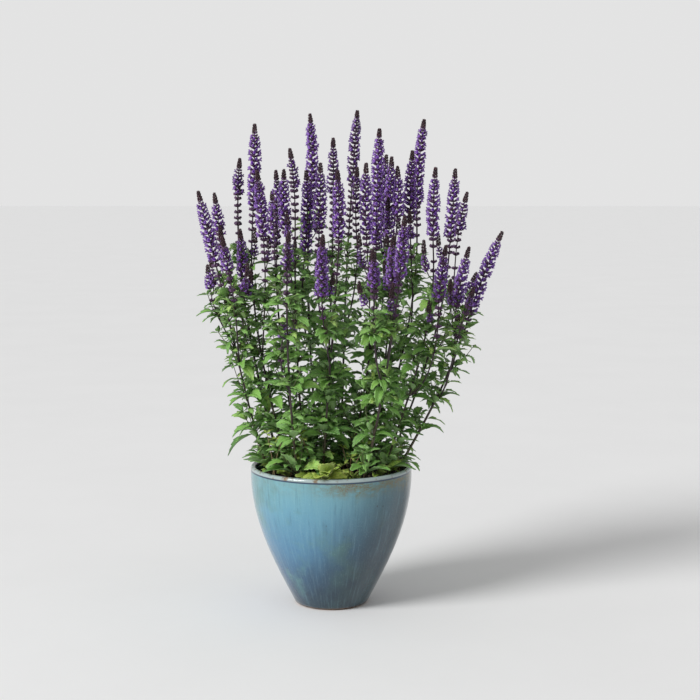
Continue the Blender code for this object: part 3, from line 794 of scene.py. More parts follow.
class Graph:
    """The nodes of one material or group, wired as they are added."""

    def __init__(self, tree: bpy.types.NodeTree) -> None:
        """Works on this node tree."""
        self.tree = tree

    def add(self, kind: str, inputs: dict | None = None, **settings: object) -> bpy.types.Node:
        """Adds a shader node.

        Args:
            kind: The node's type, without the words ShaderNode.
            inputs: A value or another node's socket for each input named or numbered.
            settings: The node's own settings.

        Returns:
            The node.
        """
        node = self.tree.nodes.new("ShaderNode" + kind)
        for name, value in settings.items():
            setattr(node, name, value)
        self.feed(node, inputs or {})
        return node

    def feed(self, node: bpy.types.Node, inputs: dict) -> None:
        """Links each socket into its input, and sets each value on it."""
        for key, value in inputs.items():
            if isinstance(value, bpy.types.NodeSocket):
                self.tree.links.new(value, node.inputs[key])
            else:
                node.inputs[key].default_value = value

    def sum(self, operation: str, *values: object) -> bpy.types.NodeSocket:
        """The result of one math operation on values or sockets."""
        return self.add("Math", dict(enumerate(values)), operation=operation).outputs[0]

    def mix(self, share: object, low: object, high: object) -> bpy.types.NodeSocket:
        """A colour between two others, each a colour or a socket."""
        return self.add("Mix", coloured({0: share, 6: low, 7: high}), data_type="RGBA").outputs[2]

    def step(self, value: object, low: float, high: float) -> bpy.types.NodeSocket:
        """A smooth step from 0 at low to 1 at high."""
        return self.add(
            "MapRange", {"Value": value, "From Min": low, "From Max": high}, interpolation_type="SMOOTHSTEP",
        ).outputs[0]

    def wash(self, base: object, wash: Wash, value: object) -> bpy.types.NodeSocket:
        """The base with a colour washed over it where the value says."""
        share = self.step(value, wash.low, wash.high)
        if wash.strength < 1.0:
            share = self.sum("MULTIPLY", share, wash.strength)
        return self.mix(share, base, wash.colour)

    def fill(self, mask: object, least: float) -> bpy.types.NodeSocket:
        """The mask raised so that it goes from the least to 1."""
        return self.sum("MULTIPLY_ADD", mask, 1.0 - least, least)

    def noise(self, vector: object, scale: float, detail: float = 4.0, roughness: float = 0.55) -> object:
        """A cloud noise from about 0.3 to 0.7."""
        inputs = {"Vector": vector, "Scale": scale, "Detail": detail, "Roughness": roughness}
        return self.add("TexNoise", inputs).outputs[0]

    def ramp(self, value: object, stops: tuple) -> bpy.types.NodeSocket:
        """A colour off a ramp of (place, colour) stops."""
        node = self.add("ValToRGB", {0: value})
        band = node.color_ramp
        while len(band.elements) < len(stops):
            band.elements.new(0.5)
        for element, (place, colour) in zip(band.elements, stops):
            element.position = place
            element.color = rgba(colour)
        return node.outputs[0]

    def place(self, stretch: tuple = (1.0, 1.0, 1.0)) -> bpy.types.NodeSocket:
        """The place on the object in metres, stretched along each axis."""
        where = self.add("TexCoord").outputs["Object"]
        if stretch == (1.0, 1.0, 1.0):
            return where
        return self.add("Mapping", {"Vector": where, "Scale": stretch}).outputs[0]

    def pattern(self) -> bpy.types.NodeSocket:
        """The place on the pattern, root to tip and side to side."""
        return self.add("UVMap", uv_map="pattern").outputs[0]

    def layer(self, name: str) -> bpy.types.NodeSocket:
        """A value that the mesh carries under this name."""
        return self.add("Attribute", attribute_name=name).outputs["Fac"]

    def bump(self, height: object, strength: float, distance: float, normal: object = None) -> object:
        """A normal from a height in millimetres."""
        inputs = {"Height": height, "Strength": strength, "Distance": distance}
        if normal is not None:
            inputs["Normal"] = normal
        return self.add("Bump", inputs).outputs[0]


class Effect:
    """A shader node group that is built once and placed in each material that shows the effect."""

    name = "effect"
    takes: tuple = ()
    gives: tuple = ()

    def wire(self, graph: Graph, given: object) -> dict:
        """The sockets that feed the group's outputs, by name."""
        raise NotImplementedError

    def tree(self) -> bpy.types.NodeTree:
        """The node group, built on first use."""
        made = bpy.data.node_groups.get(self.name)
        if made:
            return made
        made = bpy.data.node_groups.new(self.name, "ShaderNodeTree")
        for name, kind, value in self.takes:
            socket = made.interface.new_socket(name=name, in_out="INPUT", socket_type="NodeSocket" + kind)
            if value is not None:
                socket.default_value = value
        for name, kind in self.gives:
            made.interface.new_socket(name=name, in_out="OUTPUT", socket_type="NodeSocket" + kind)
        given = made.nodes.new("NodeGroupInput").outputs
        sink = made.nodes.new("NodeGroupOutput").inputs
        for name, socket in self.wire(Graph(made), given).items():
            made.links.new(socket, sink[name])
        return made

    def put(self, graph: Graph, **inputs: object) -> object:
        """Places the group in a material.

        Args:
            graph: The material's graph.
            inputs: A value, a colour or a socket for each of its inputs.

        Returns:
            The placed group's outputs.
        """
        node = graph.tree.nodes.new("ShaderNodeGroup")
        node.node_tree = self.tree()
        graph.feed(node, coloured(inputs))
        return node.outputs


class Mottling(Effect):
    """Clouds of a second colour over a first."""

    name = "mottling"
    takes = (
        ("Vector", "Vector", None), ("Scale", "Float", 20.0), ("Base", "Color", None),
        ("Cloud", "Color", None), ("Spread", "Float", 0.5), ("Softness", "Float", 0.12),
    )
    gives = (("Color", "Color"),)

    def wire(self, graph: Graph, given: object) -> dict:
        """Two sizes of noise, cut at the spread."""
        clouds = graph.noise(given["Vector"], given["Scale"], 5.0, 0.6)
        low = graph.sum("SUBTRACT", given["Spread"], given["Softness"])
        high = graph.sum("ADD", given["Spread"], given["Softness"])
        return {"Color": graph.mix(graph.step(clouds, low, high), given["Base"], given["Cloud"])}

    def over(self, graph: Graph, where: object, base: object, cloud: tuple, form: tuple) -> object:
        """Clouds over a base colour, by their (scale, spread, softness)."""
        named = dict(zip(("Scale", "Spread", "Softness"), form))
        return self.put(graph, Vector=where, Base=base, Cloud=cloud, **named)["Color"]


class Relief(Effect):
    """A fine and a coarse roughness of the surface, as a height."""

    name = "relief"
    takes = (
        ("Vector", "Vector", None), ("Coarse", "Float", 60.0), ("Fine", "Float", 400.0),
        ("Share", "Float", 0.5),
    )
    gives = (("Height", "Float"),)

    def wire(self, graph: Graph, given: object) -> dict:
        """Coarse and fine noise, blended by the share of the fine one."""
        coarse = graph.noise(given["Vector"], given["Coarse"], 3.0)
        fine = graph.noise(given["Vector"], given["Fine"], 4.0, 0.65)
        gap = graph.sum("SUBTRACT", fine, coarse)
        return {"Height": graph.sum("MULTIPLY_ADD", gap, given["Share"], coarse)}

    def height(self, graph: Graph, where: object, grain: tuple) -> object:
        """The height of a roughness by its (coarse scale, fine scale, share of the fine one)."""
        named = dict(zip(("Coarse", "Fine", "Share"), grain))
        return self.put(graph, Vector=where, **named)["Height"]


class Veins(Effect):
    """A middle rib with side veins that slant to the edge, as a mask that is 1 along them."""

    name = "veins"
    takes = (
        ("Pattern", "Vector", None), ("Count", "Float", 9.0), ("Slant", "Float", 3.0),
        ("Rib", "Float", 0.05), ("Width", "Float", 0.2),
    )
    gives = (("Mask", "Float"), ("Along", "Float"))

    fade: float = 0.6
    bend: float = 0.8

    def on_pattern(self, graph: Graph, form: tuple) -> object:
        """The veins of a leaf or petal, by their (count, slant, rib's width, veins' width)."""
        named = dict(zip(("Count", "Slant", "Rib", "Width"), form))
        return self.put(graph, Pattern=graph.pattern(), **named)

    def mirrored(self, graph: Graph, value: object) -> object:
        """How far a value lies from a half, from 0 there to 1 at both ends."""
        return graph.sum("ABSOLUTE", graph.sum("MULTIPLY_ADD", value, 2.0, -1.0))

    def wire(self, graph: Graph, given: object) -> dict:
        """Veins where the slanted pattern comes round, fading towards the edge."""
        split = graph.add("SeparateXYZ", {0: given["Pattern"]}).outputs
        across = self.mirrored(graph, split[1])
        lean = graph.sum("MULTIPLY", graph.sum("POWER", across, self.bend), given["Slant"])
        passed = graph.sum("MULTIPLY", split[0], given["Count"])
        ridge = self.mirrored(graph, graph.sum("FRACT", graph.sum("SUBTRACT", passed, lean)))
        side = graph.step(ridge, graph.sum("SUBTRACT", 1.0, given["Width"]), 1.0)
        fading = graph.sum("SUBTRACT", 1.0, graph.sum("MULTIPLY", across, self.fade))
        faded = graph.sum("MULTIPLY", side, fading)
        rib = graph.sum("SUBTRACT", 1.0, graph.step(across, 0.0, given["Rib"]))
        return {"Mask": graph.sum("MAXIMUM", faded, rib), "Along": split[0]}


class ToneShift(Effect):
    """Takes a colour from a dark to a light one by the tone that each leaf or petal carries."""

    name = "tone_shift"
    takes = (
        ("Tone", "Float", 0.5), ("Dark", "Color", None), ("Middle", "Color", None), ("Light", "Color", None),
    )
    gives = (("Color", "Color"),)

    def wire(self, graph: Graph, given: object) -> dict:
        """Dark to middle over the lower half of the tone, middle to light over the upper half."""
        lower = graph.mix(graph.step(given["Tone"], 0.0, 0.5), given["Dark"], given["Middle"])
        return {"Color": graph.mix(graph.step(given["Tone"], 0.5, 1.0), lower, given["Light"])}


MOTTLING, RELIEF, VEINS, TONE_SHIFT = Mottling(), Relief(), Veins(), ToneShift()


@dataclass(frozen=True)
class Finish:
    """A surface finish, made into a material on first use."""

    name: str = "finish"

    def dress(self, graph: Graph) -> dict:
        """What goes into the Principled shader, by input."""
        raise NotImplementedError

    def material(self) -> bpy.types.Material:
        """The material, built on first use."""
        made = bpy.data.materials.get(self.name)
        if made:
            return made
        made = bpy.data.materials.new(self.name)
        made.use_nodes = True
        made.node_tree.nodes.clear()
        graph = Graph(made.node_tree)
        shader = graph.add("BsdfPrincipled", self.dress(graph))
        graph.add("OutputMaterial", {"Surface": shader.outputs[0]})
        return made


@dataclass(frozen=True)
class Toned(Finish):
    """A finish that goes from a dark to a light colour by the tone that each part of the mesh carries."""

    dark: tuple = (0.1, 0.1, 0.1)
    middle: tuple = (0.3, 0.3, 0.3)
    light: tuple = (0.6, 0.6, 0.6)

    def shade(self, graph: Graph) -> object:
        """The colour for the tone."""
        tone = graph.layer("tone")
        return TONE_SHIFT.put(graph, Tone=tone, Dark=self.dark, Middle=self.middle, Light=self.light)["Color"]


@dataclass(frozen=True)
class Glaze(Finish):
    """Blue stoneware glaze: turquoise high up, slate at the foot, breaking to rust under the lip, with
    painted shade over its right side and lower wall.
    """

    name: str = "blue_stoneware_glaze"
    full_height: float = 0.25
    body: tuple = (
        (0.00, (0.026, 0.050, 0.080)),
        (0.22, (0.045, 0.115, 0.210)),
        (0.48, (0.080, 0.215, 0.350)),
        (0.74, (0.120, 0.300, 0.400)),
        (0.93, (0.150, 0.340, 0.390)),
    )
    run_stretch: float = 0.10
    run_scale: float = 55.0
    run_reach: float = 0.045
    cloud: tuple = (0.110, 0.255, 0.270)
    clouds: tuple = (13.0, 0.58, 0.10)
    # Painted shade: past a slanted line across the wall the glaze darkens towards the right side and the
    # foot.
    slant_height: float = 0.12
    slant: float = -0.7
    painted_shade: Wash = Wash((0.018, 0.038, 0.052), -0.07, 0.10, 0.90)
    streak_stretch: float = 0.8
    streak_scale: float = 27.0
    pale_streaks: Wash = Wash((0.240, 0.440, 0.520), 0.50, 0.72, 0.15)
    dark_streaks: Wash = Wash((0.030, 0.085, 0.130), 0.46, 0.26, 0.28)
    speck_scale: float = 780.0
    specks: Wash = Wash((0.300, 0.520, 0.560), 0.60, 0.74, 0.30)
    pit_scale: float = 85.0
    pit_sizes: tuple = (0.09, 0.17)
    thin_scale: float = 24.0
    thin_share: tuple = (0.56, 0.64)
    pit_colour: tuple = (0.030, 0.055, 0.070)
    pit_depth: float = 0.4
    rust_stretch: float = 2.2
    rust_noise: tuple = (46.0, 8.0, 0.72)
    rust_heights: tuple = (0.2060, 0.2340)
    rust_patches: tuple = (0.36, 0.56)
    rust_grains: tuple = (0.38, 0.60)
    rust_sides: tuple = (-0.05, 0.03)
    rust_least_aside: float = 0.20
    rust_least_speckle: float = 0.45
    rust_tones: tuple = (0.50, 0.66)
    rust_colours: tuple = ((0.135, 0.130, 0.048), (0.155, 0.095, 0.038))
    edge: float = 0.0008
    line: Wash = Wash((0.020, 0.045, 0.085), 0.2384, 0.2392)
    lip: float = 0.2415
    lip_colours: tuple = ((0.340, 0.420, 0.420), (0.210, 0.155, 0.100))
    lip_clouds: tuple = (70.0, 0.60, 0.07)
    foot: float = 0.0035
    clay_colours: tuple = ((0.240, 0.150, 0.095), (0.120, 0.085, 0.062))
    clay_clouds: tuple = (150.0, 0.55, 0.10)
    clay_roughness: float = 0.80
    glaze_roughness: float = 0.18
    coat: float = 0.35
    coat_roughness: float = 0.10
    peel: tuple = (38.0, 260.0, 0.30)
    bump: tuple = (0.22, 0.004)

    def streaked(self, graph: Graph, base: object) -> object:
        """Pale and dark streaks that run down the wall."""
        ring = graph.add("VectorMath", {0: graph.place((1.0, 1.0, 0.0))}, operation="NORMALIZE").outputs[0]
        inputs = {0: ring, 1: graph.place((0.0, 0.0, self.streak_stretch))}
        down = graph.add("VectorMath", inputs, operation="ADD").outputs[0]
        streaks = graph.noise(down, self.streak_scale)
        return graph.wash(graph.wash(base, self.pale_streaks, streaks), self.dark_streaks, streaks)

    def pits(self, graph: Graph, where: object) -> object:
        """A mask of the pits, which lie where the glaze is thin."""
        inputs = {"Vector": where, "Scale": self.pit_scale, "Randomness": 1.0}
        cells = graph.add("TexVoronoi", inputs).outputs["Distance"]
        thin = graph.step(graph.noise(where, self.thin_scale), *self.thin_share)
        return graph.sum("MULTIPLY", graph.sum("SUBTRACT", 1.0, graph.step(cells, *self.pit_sizes)), thin)

    def rusted(self, graph: Graph, base: object, height: object, aside: object, grains: object) -> object:
        """Rust that breaks through under the lip, more of it on the right."""
        patches = graph.noise(graph.place((1.0, 1.0, self.rust_stretch)), *self.rust_noise)
        band = graph.step(height, *self.rust_heights)
        side = graph.fill(graph.step(aside, *self.rust_sides), self.rust_least_aside)
        speckle = graph.fill(graph.step(grains, *self.rust_grains), self.rust_least_speckle)
        cloud = graph.sum("MULTIPLY", graph.step(patches, *self.rust_patches), speckle)
        rust = graph.sum("MULTIPLY", graph.sum("MULTIPLY", cloud, band), side)
        return graph.mix(rust, base, graph.mix(graph.step(patches, *self.rust_tones), *self.rust_colours))

    def dress(self, graph: Graph) -> dict:
        """Colour by height, with runs, clouds, painted shade, specks, pits and rust in it, over bare clay at
        the foot.
        """
        where = graph.place()
        split = graph.add("SeparateXYZ", {0: where}).outputs
        runs = graph.noise(graph.place((1.0, 1.0, self.run_stretch)), self.run_scale, 5.0)
        height = graph.sum("MULTIPLY_ADD", graph.sum("SUBTRACT", runs, 0.5), self.run_reach, split[2])
        body = graph.ramp(graph.sum("DIVIDE", height, self.full_height), self.body)
        clouded = MOTTLING.over(graph, where, body, self.cloud, self.clouds)
        # Painted shade darkens the right side and the lower wall.
        rise = graph.sum("SUBTRACT", height, self.slant_height)
        shaded_side = graph.wash(clouded, self.painted_shade, graph.sum("MULTIPLY_ADD", rise, self.slant, split[0]))
        grains = graph.noise(where, self.speck_scale, 2.0, 0.5)
        specked = graph.wash(self.streaked(graph, shaded_side), self.specks, grains)
        pits = self.pits(graph, where)
        pitted = graph.mix(pits, specked, self.pit_colour)
        lined = graph.wash(self.rusted(graph, pitted, height, split[0], grains), self.line, split[2])
        bare_lip = MOTTLING.over(graph, where, *self.lip_colours, self.lip_clouds)
        lipped = graph.mix(graph.step(split[2], self.lip - self.edge, self.lip + self.edge), lined, bare_lip)
        clay = MOTTLING.over(graph, where, *self.clay_colours, self.clay_clouds)
        glazed = graph.step(split[2], self.foot - self.edge, self.foot + self.edge)
        smoother = graph.sum("MULTIPLY", glazed, self.clay_roughness - self.glaze_roughness)
        relief = graph.sum(
            "SUBTRACT", RELIEF.height(graph, where, self.peel), graph.sum("MULTIPLY", pits, self.pit_depth))
        return {
            "Base Color": graph.mix(glazed, clay, lipped),
            "Roughness": graph.sum("SUBTRACT", self.clay_roughness, smoother),
            "Coat Weight": graph.sum("MULTIPLY", glazed, self.coat),
            "Coat Roughness": self.coat_roughness,
            "Normal": graph.bump(relief, *self.bump),
        }


@dataclass(frozen=True)
class Crumb(Toned):
    """Dark crumbly compost, or the pieces of bark and grit that lie on it."""

    name: str = "dark_compost"
    dark: tuple = (0.010, 0.007, 0.005)
    middle: tuple = (0.030, 0.020, 0.013)
    light: tuple = (0.085, 0.055, 0.033)
    grain: float = 520.0
    cloud_form: tuple = (0.52, 0.08)
    grain_span: tuple = (0.4, 2.5)
    roughness: tuple = (0.3, 0.72)
    bump: tuple = (0.8, 0.003)

    def dress(self, graph: Graph) -> dict:
        """A mottled earth colour shifted by tone, with a rough grain."""
        where = graph.place()
        coarse, fine = (self.grain * part for part in self.grain_span)
        height = RELIEF.height(graph, where, (coarse, fine, 0.5))
        return {
            "Base Color": MOTTLING.over(
                graph, where, self.shade(graph), self.dark, (self.grain, *self.cloud_form)),
            "Roughness": graph.sum("MULTIPLY_ADD", height, *self.roughness),
            "Normal": graph.bump(height, *self.bump),
        }


@dataclass(frozen=True)
class LeafSkin(Toned):
    """A wrinkled sage leaf: dark to yellow green above, greyer beneath, paler along its veins."""

    name: str = "sage_leaf"
    dark: tuple = (0.044, 0.138, 0.025)
    middle: tuple = (0.175, 0.385, 0.068)
    light: tuple = (0.440, 0.620, 0.135)
    beneath: tuple = (0.300, 0.460, 0.210)
    vein: tuple = (0.430, 0.600, 0.250)
    clouds: tuple = (230.0, 0.56, 0.14)
    beneath_share: float = 0.75
    veins: tuple = (9.0, 2.6, 0.09, 0.26)
    vein_share: float = 0.50
    vein_depth: float = 0.8
    wrinkles: tuple = (420.0, 1500.0, 0.35)
    roughness: tuple = (0.35, 0.34)
    through: float = 0.12
    through_colour: tuple = (0.30, 0.60, 0.12)
    through_reach: float = 0.002
    bump: tuple = (0.55, 0.0008)

    def dress(self, graph: Graph) -> dict:
        """Tone by leaf, clouds over it, veins sunk in it."""
        where = graph.place()
        clouds = MOTTLING.over(graph, where, self.shade(graph), self.middle, self.clouds)
        under = graph.sum("MULTIPLY", graph.layer("under"), self.beneath_share)
        backed = graph.mix(under, clouds, self.beneath)
        veins = VEINS.on_pattern(graph, self.veins)["Mask"]
        wrinkle = RELIEF.height(graph, where, self.wrinkles)
        height = graph.sum("SUBTRACT", wrinkle, graph.sum("MULTIPLY", veins, self.vein_depth))
        return {
            "Base Color": graph.mix(graph.sum("MULTIPLY", veins, self.vein_share), backed, self.vein),
            "Roughness": graph.sum("MULTIPLY_ADD", wrinkle, *self.roughness),
            "Subsurface Weight": self.through,
            "Subsurface Radius": self.through_colour,
            "Subsurface Scale": self.through_reach,
            "Normal": graph.bump(height, *self.bump),
        }


@dataclass(frozen=True)
class StemSkin(Finish):
    """The square stem: green and brown where young or low, dark purple where it carries flowers."""

    name: str = "dark_stem"
    low: tuple = (0.060, 0.045, 0.018)
    high: tuple = (0.028, 0.010, 0.020)
    joint: tuple = (0.090, 0.100, 0.035)
    turns_at: tuple = (0.26, 0.40)
    clouds: tuple = (220.0, 0.66, 0.12)
    cloud_stretch: float = 0.2
    hairs: tuple = (700.0, 2600.0, 0.5)
    hair_stretch: float = 0.25
    roughness: tuple = (0.3, 0.38)
    sheen: float = 0.15
    bump: tuple = (0.5, 0.0006)

    def dress(self, graph: Graph) -> dict:
        """Colour by height, brighter where the tone says a joint is, with hairs as fine grain."""
        height = graph.add("SeparateXYZ", {0: graph.place()}).outputs[2]
        body = graph.mix(graph.step(height, *self.turns_at), self.low, self.high)
        where = graph.place((1.0, 1.0, self.cloud_stretch))
        flushed = MOTTLING.over(graph, where, body, self.joint, self.clouds)
        hairs = RELIEF.height(graph, graph.place((1.0, 1.0, self.hair_stretch)), self.hairs)
        return {
            "Base Color": graph.mix(graph.step(graph.layer("tone"), 0.5, 1.0), flushed, self.joint),
            "Roughness": graph.sum("MULTIPLY_ADD", hairs, *self.roughness),
            "Sheen Weight": self.sheen,
            "Normal": graph.bump(hairs, *self.bump),
        }


@dataclass(frozen=True)
class Bloom(Toned):
    """A ribbed flower part, such as a petal, a calyx or a bud, coloured by its own tone, with a painted
    highlight towards its tip.
    """

    name: str = "violet_petal"
    dark: tuple = (0.120, 0.030, 0.240)
    middle: tuple = (0.270, 0.080, 0.560)
    light: tuple = (0.400, 0.180, 0.780)
    # The colour of the painted highlight that lightens each part towards its tip.
    tip: tuple = (0.560, 0.340, 0.850)
    ribs: float = 0.35
    roughness: float = 0.50
    through: float = 0.15
    sheen: float = 0.2
    veins: tuple = (3.0, 4.0, 0.25, 0.30)
    highlight_from: float = 0.45
    highlight_share: float = 0.6
    clouds: tuple = (600.0, 0.55, 0.15)
    hairs: tuple = (900.0, 3200.0, 0.5)
    hair_roughness: float = 0.2
    through_colour: tuple = (0.4, 0.3, 0.8)
    through_reach: float = 0.0015
    bump: tuple = (0.5, 0.0006)

    def dress(self, graph: Graph) -> dict:
        """Tone by floret, with a painted highlight towards the tip, and ribs that run along it."""
        where, shade = graph.place(), self.shade(graph)
        veins = VEINS.on_pattern(graph, self.veins)
        # Painted highlight: the colour lightens towards the tip of each part.
        highlighted = graph.wash(shade, Wash(self.tip, self.highlight_from, 1.0, self.highlight_share), veins["Along"])
        ribbed = graph.mix(graph.sum("MULTIPLY", veins["Mask"], self.ribs), highlighted, self.dark)
        hairs = RELIEF.height(graph, where, self.hairs)
        smooth = self.roughness - self.hair_roughness / 2
        return {
            "Base Color": MOTTLING.over(graph, where, ribbed, shade, self.clouds),
            "Roughness": graph.sum("MULTIPLY_ADD", hairs, self.hair_roughness, smooth),
            "Subsurface Weight": self.through,
            "Subsurface Radius": self.through_colour,
            "Subsurface Scale": self.through_reach,
            "Sheen Weight": self.sheen,
            "Normal": graph.bump(graph.sum("SUBTRACT", hairs, veins["Mask"]), *self.bump),
        }


@dataclass(frozen=True)
class PaleFloor(Finish):
    """A plain pale floor with a trace of cloud in it."""

    name: str = "pale_floor"
    colours: tuple = ((0.86, 0.86, 0.86), (0.84, 0.84, 0.84))
    clouds: tuple = (3.0, 0.5, 0.3)
    roughness: float = 0.9

    def dress(self, graph: Graph) -> dict:
        """Two near whites, evenly rough."""
        colour = MOTTLING.over(graph, graph.place(), *self.colours, self.clouds)
        return {"Base Color": colour, "Roughness": self.roughness}


GLAZE = Glaze()
COMPOST = Crumb()
CHIP = Crumb("bark_and_grit", (0.020, 0.012, 0.008), (0.095, 0.058, 0.034), (0.300, 0.250, 0.190), 380.0)
LEAF_SKIN = LeafSkin()
YOUNG_LEAF = LeafSkin(
    "young_sage_leaf", (0.130, 0.250, 0.028), (0.300, 0.440, 0.055), (0.560, 0.650, 0.120),
    (0.370, 0.450, 0.160), (0.540, 0.610, 0.220))
STEM_SKIN = StemSkin()
YOUNG_STEM = StemSkin("young_stem", (0.200, 0.105, 0.055), (0.110, 0.090, 0.040), (0.260, 0.200, 0.090))
SPRIG_SKIN = StemSkin("sprig_stem", (0.110, 0.130, 0.045), (0.075, 0.060, 0.035), (0.120, 0.160, 0.060))
PETAL = Bloom()
# The fifth colour of each is its painted highlight towards the tip.
CALYX = Bloom(
    "purple_calyx", (0.042, 0.014, 0.040), (0.095, 0.032, 0.100), (0.170, 0.074, 0.195),
    (0.130, 0.048, 0.150), ribs=0.6, roughness=0.55, through=0.05, sheen=0.1)
BUD = Bloom(
    "brown_purple_bud", (0.020, 0.006, 0.010), (0.044, 0.014, 0.022), (0.085, 0.032, 0.046),
    (0.066, 0.024, 0.036), ribs=0.5, roughness=0.55, through=0.05, sheen=0.05)


# The pieces


def settle(piece: bpy.types.Object, slot: str, *nodes: str) -> None:
    """Lets a piece ride on the plant's one body and stand for its nodes."""
    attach(piece, "root")
    if nodes:
        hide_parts(*nodes)
    log.info("%s: %d faces", piece.name, len(piece.data.polygons))


@dataclass(frozen=True)
class GlazedPot:
    """The thrown pot: foot, wall, grooved lip, inner wall and a floor with drain holes."""

    shape: PotShape = PotShape()
    sides: int = 144
    wall_rings: int = 44
    lip_rings: int = 12
    groove_height: float = 0.2382
    groove_width: float = 0.0011
    groove_depth: float = 0.0007
    wobble: float = 0.00035
    oval: float = 0.8
    corners: float = 0.5
    ridges: tuple = ((820.0, 0.10), (267.0, 0.15))
    calm_within: float = 0.05
    chamfer: float = 0.003
    eye: float = 0.004
    foot_hollow: float = 0.0015
    foot_inset: float = 0.008
    foot_ring: tuple = ((0.0065, 0.00008), (0.003, 0.0), (0.0008, 0.0003))
    floor_bend: float = 0.004
    holes: int = 3
    hole_sides: int = 32
    hole_turn: float = 0.25
    hole_radius: float = 0.006
    hole_place: float = 0.036
    sharp_from: float = 50.0

    def profile(self) -> list[tuple]:
        """(radius, height) points from the middle of the base round to the middle of the floor."""
        shape = self.shape
        foot = shape.base_radius - self.chamfer
        points = [(radius, self.foot_hollow) for radius in (self.eye, foot / 2, foot - self.foot_inset)]
        points += [(foot - inset, height) for inset, height in self.foot_ring]
        for i in range(self.wall_rings + 1):
            height = blend(self.chamfer, shape.shoulder, i / self.wall_rings)
            points.append((shape.radius(height), height))
        lip = shape.wall / 2
        for i in range(self.lip_rings + 1):
            angle = math.pi * i / self.lip_rings
            out = shape.rim_radius - lip + lip * math.cos(angle)
            points.append((out, shape.height - lip + lip * math.sin(angle)))
        inner_rings = self.wall_rings // 2
        for i in range(inner_rings + 1):
            height = blend(shape.soil_top, shape.floor + self.floor_bend, i / inner_rings)
            points.append((shape.radius(height) - shape.wall, height))
        inside = points[-1][0]
        return points + [(radius, shape.floor) for radius in (inside - self.floor_bend, inside / 2, self.eye)]

    def body(self) -> bpy.types.Object:
        """The turned body, a little out of true as a thrown pot is, with a groove under its lip."""
        ways = round_ways(self.sides)
        rings = []
        for radius, height in self.profile():
            turn = 4 * height / self.shape.height
            sway = np.sin(2 * ways + 0.7) * self.oval + np.sin(3 * ways + turn) * self.corners
            ridges = sum(math.sin(height * pace) * size for pace, size in self.ridges)
            off = (height - self.groove_height) / self.groove_width
            groove = self.groove_depth * math.exp(-off**2)
            uneven = (self.wobble * (sway + ridges) - groove) * min(1.0, radius / self.calm_within)
            rings.append(circle(radius + uneven, height, ways))
        mesh = PieceMesh()
        mesh.add(tube(np.array(rings), np.linspace(0, 1, len(rings))))
        return mesh.make("glazed_pot", [GLAZE.material()])

    def drill(self) -> bpy.types.Object:
        """The round bars that the drain holes are bored with."""
        mesh = PieceMesh()
        ways = round_ways(self.hole_sides)
        for i in range(self.holes):
            way = 2 * math.pi * (i + self.hole_turn) / self.holes
            middle = (self.hole_place * math.cos(way), self.hole_place * math.sin(way), 0.0)
            ends = [circle(self.hole_radius, z, ways) for z in (-0.01, self.shape.floor * 2)]
            mesh.add(tube(np.array(ends) + middle, np.array((0.0, 1.0))))
        return mesh.make("drain_drill", [])

    def build(self) -> None:
        """Turns the body and bores the drain holes through its floor."""
        pot, drill = self.body(), self.drill()
        bore = pot.modifiers.new("drain_holes", "BOOLEAN")
        bore.operation = "DIFFERENCE"
        bore.object = drill
        bored = bpy.data.meshes.new_from_object(pot.evaluated_get(bpy.context.evaluated_depsgraph_get()))
        pot.modifiers.clear()
        pot.data = bored
        bored.set_sharp_from_angle(angle=math.radians(self.sharp_from))
        bpy.data.objects.remove(drill)
        settle(pot, "glazed_stoneware", "pot")


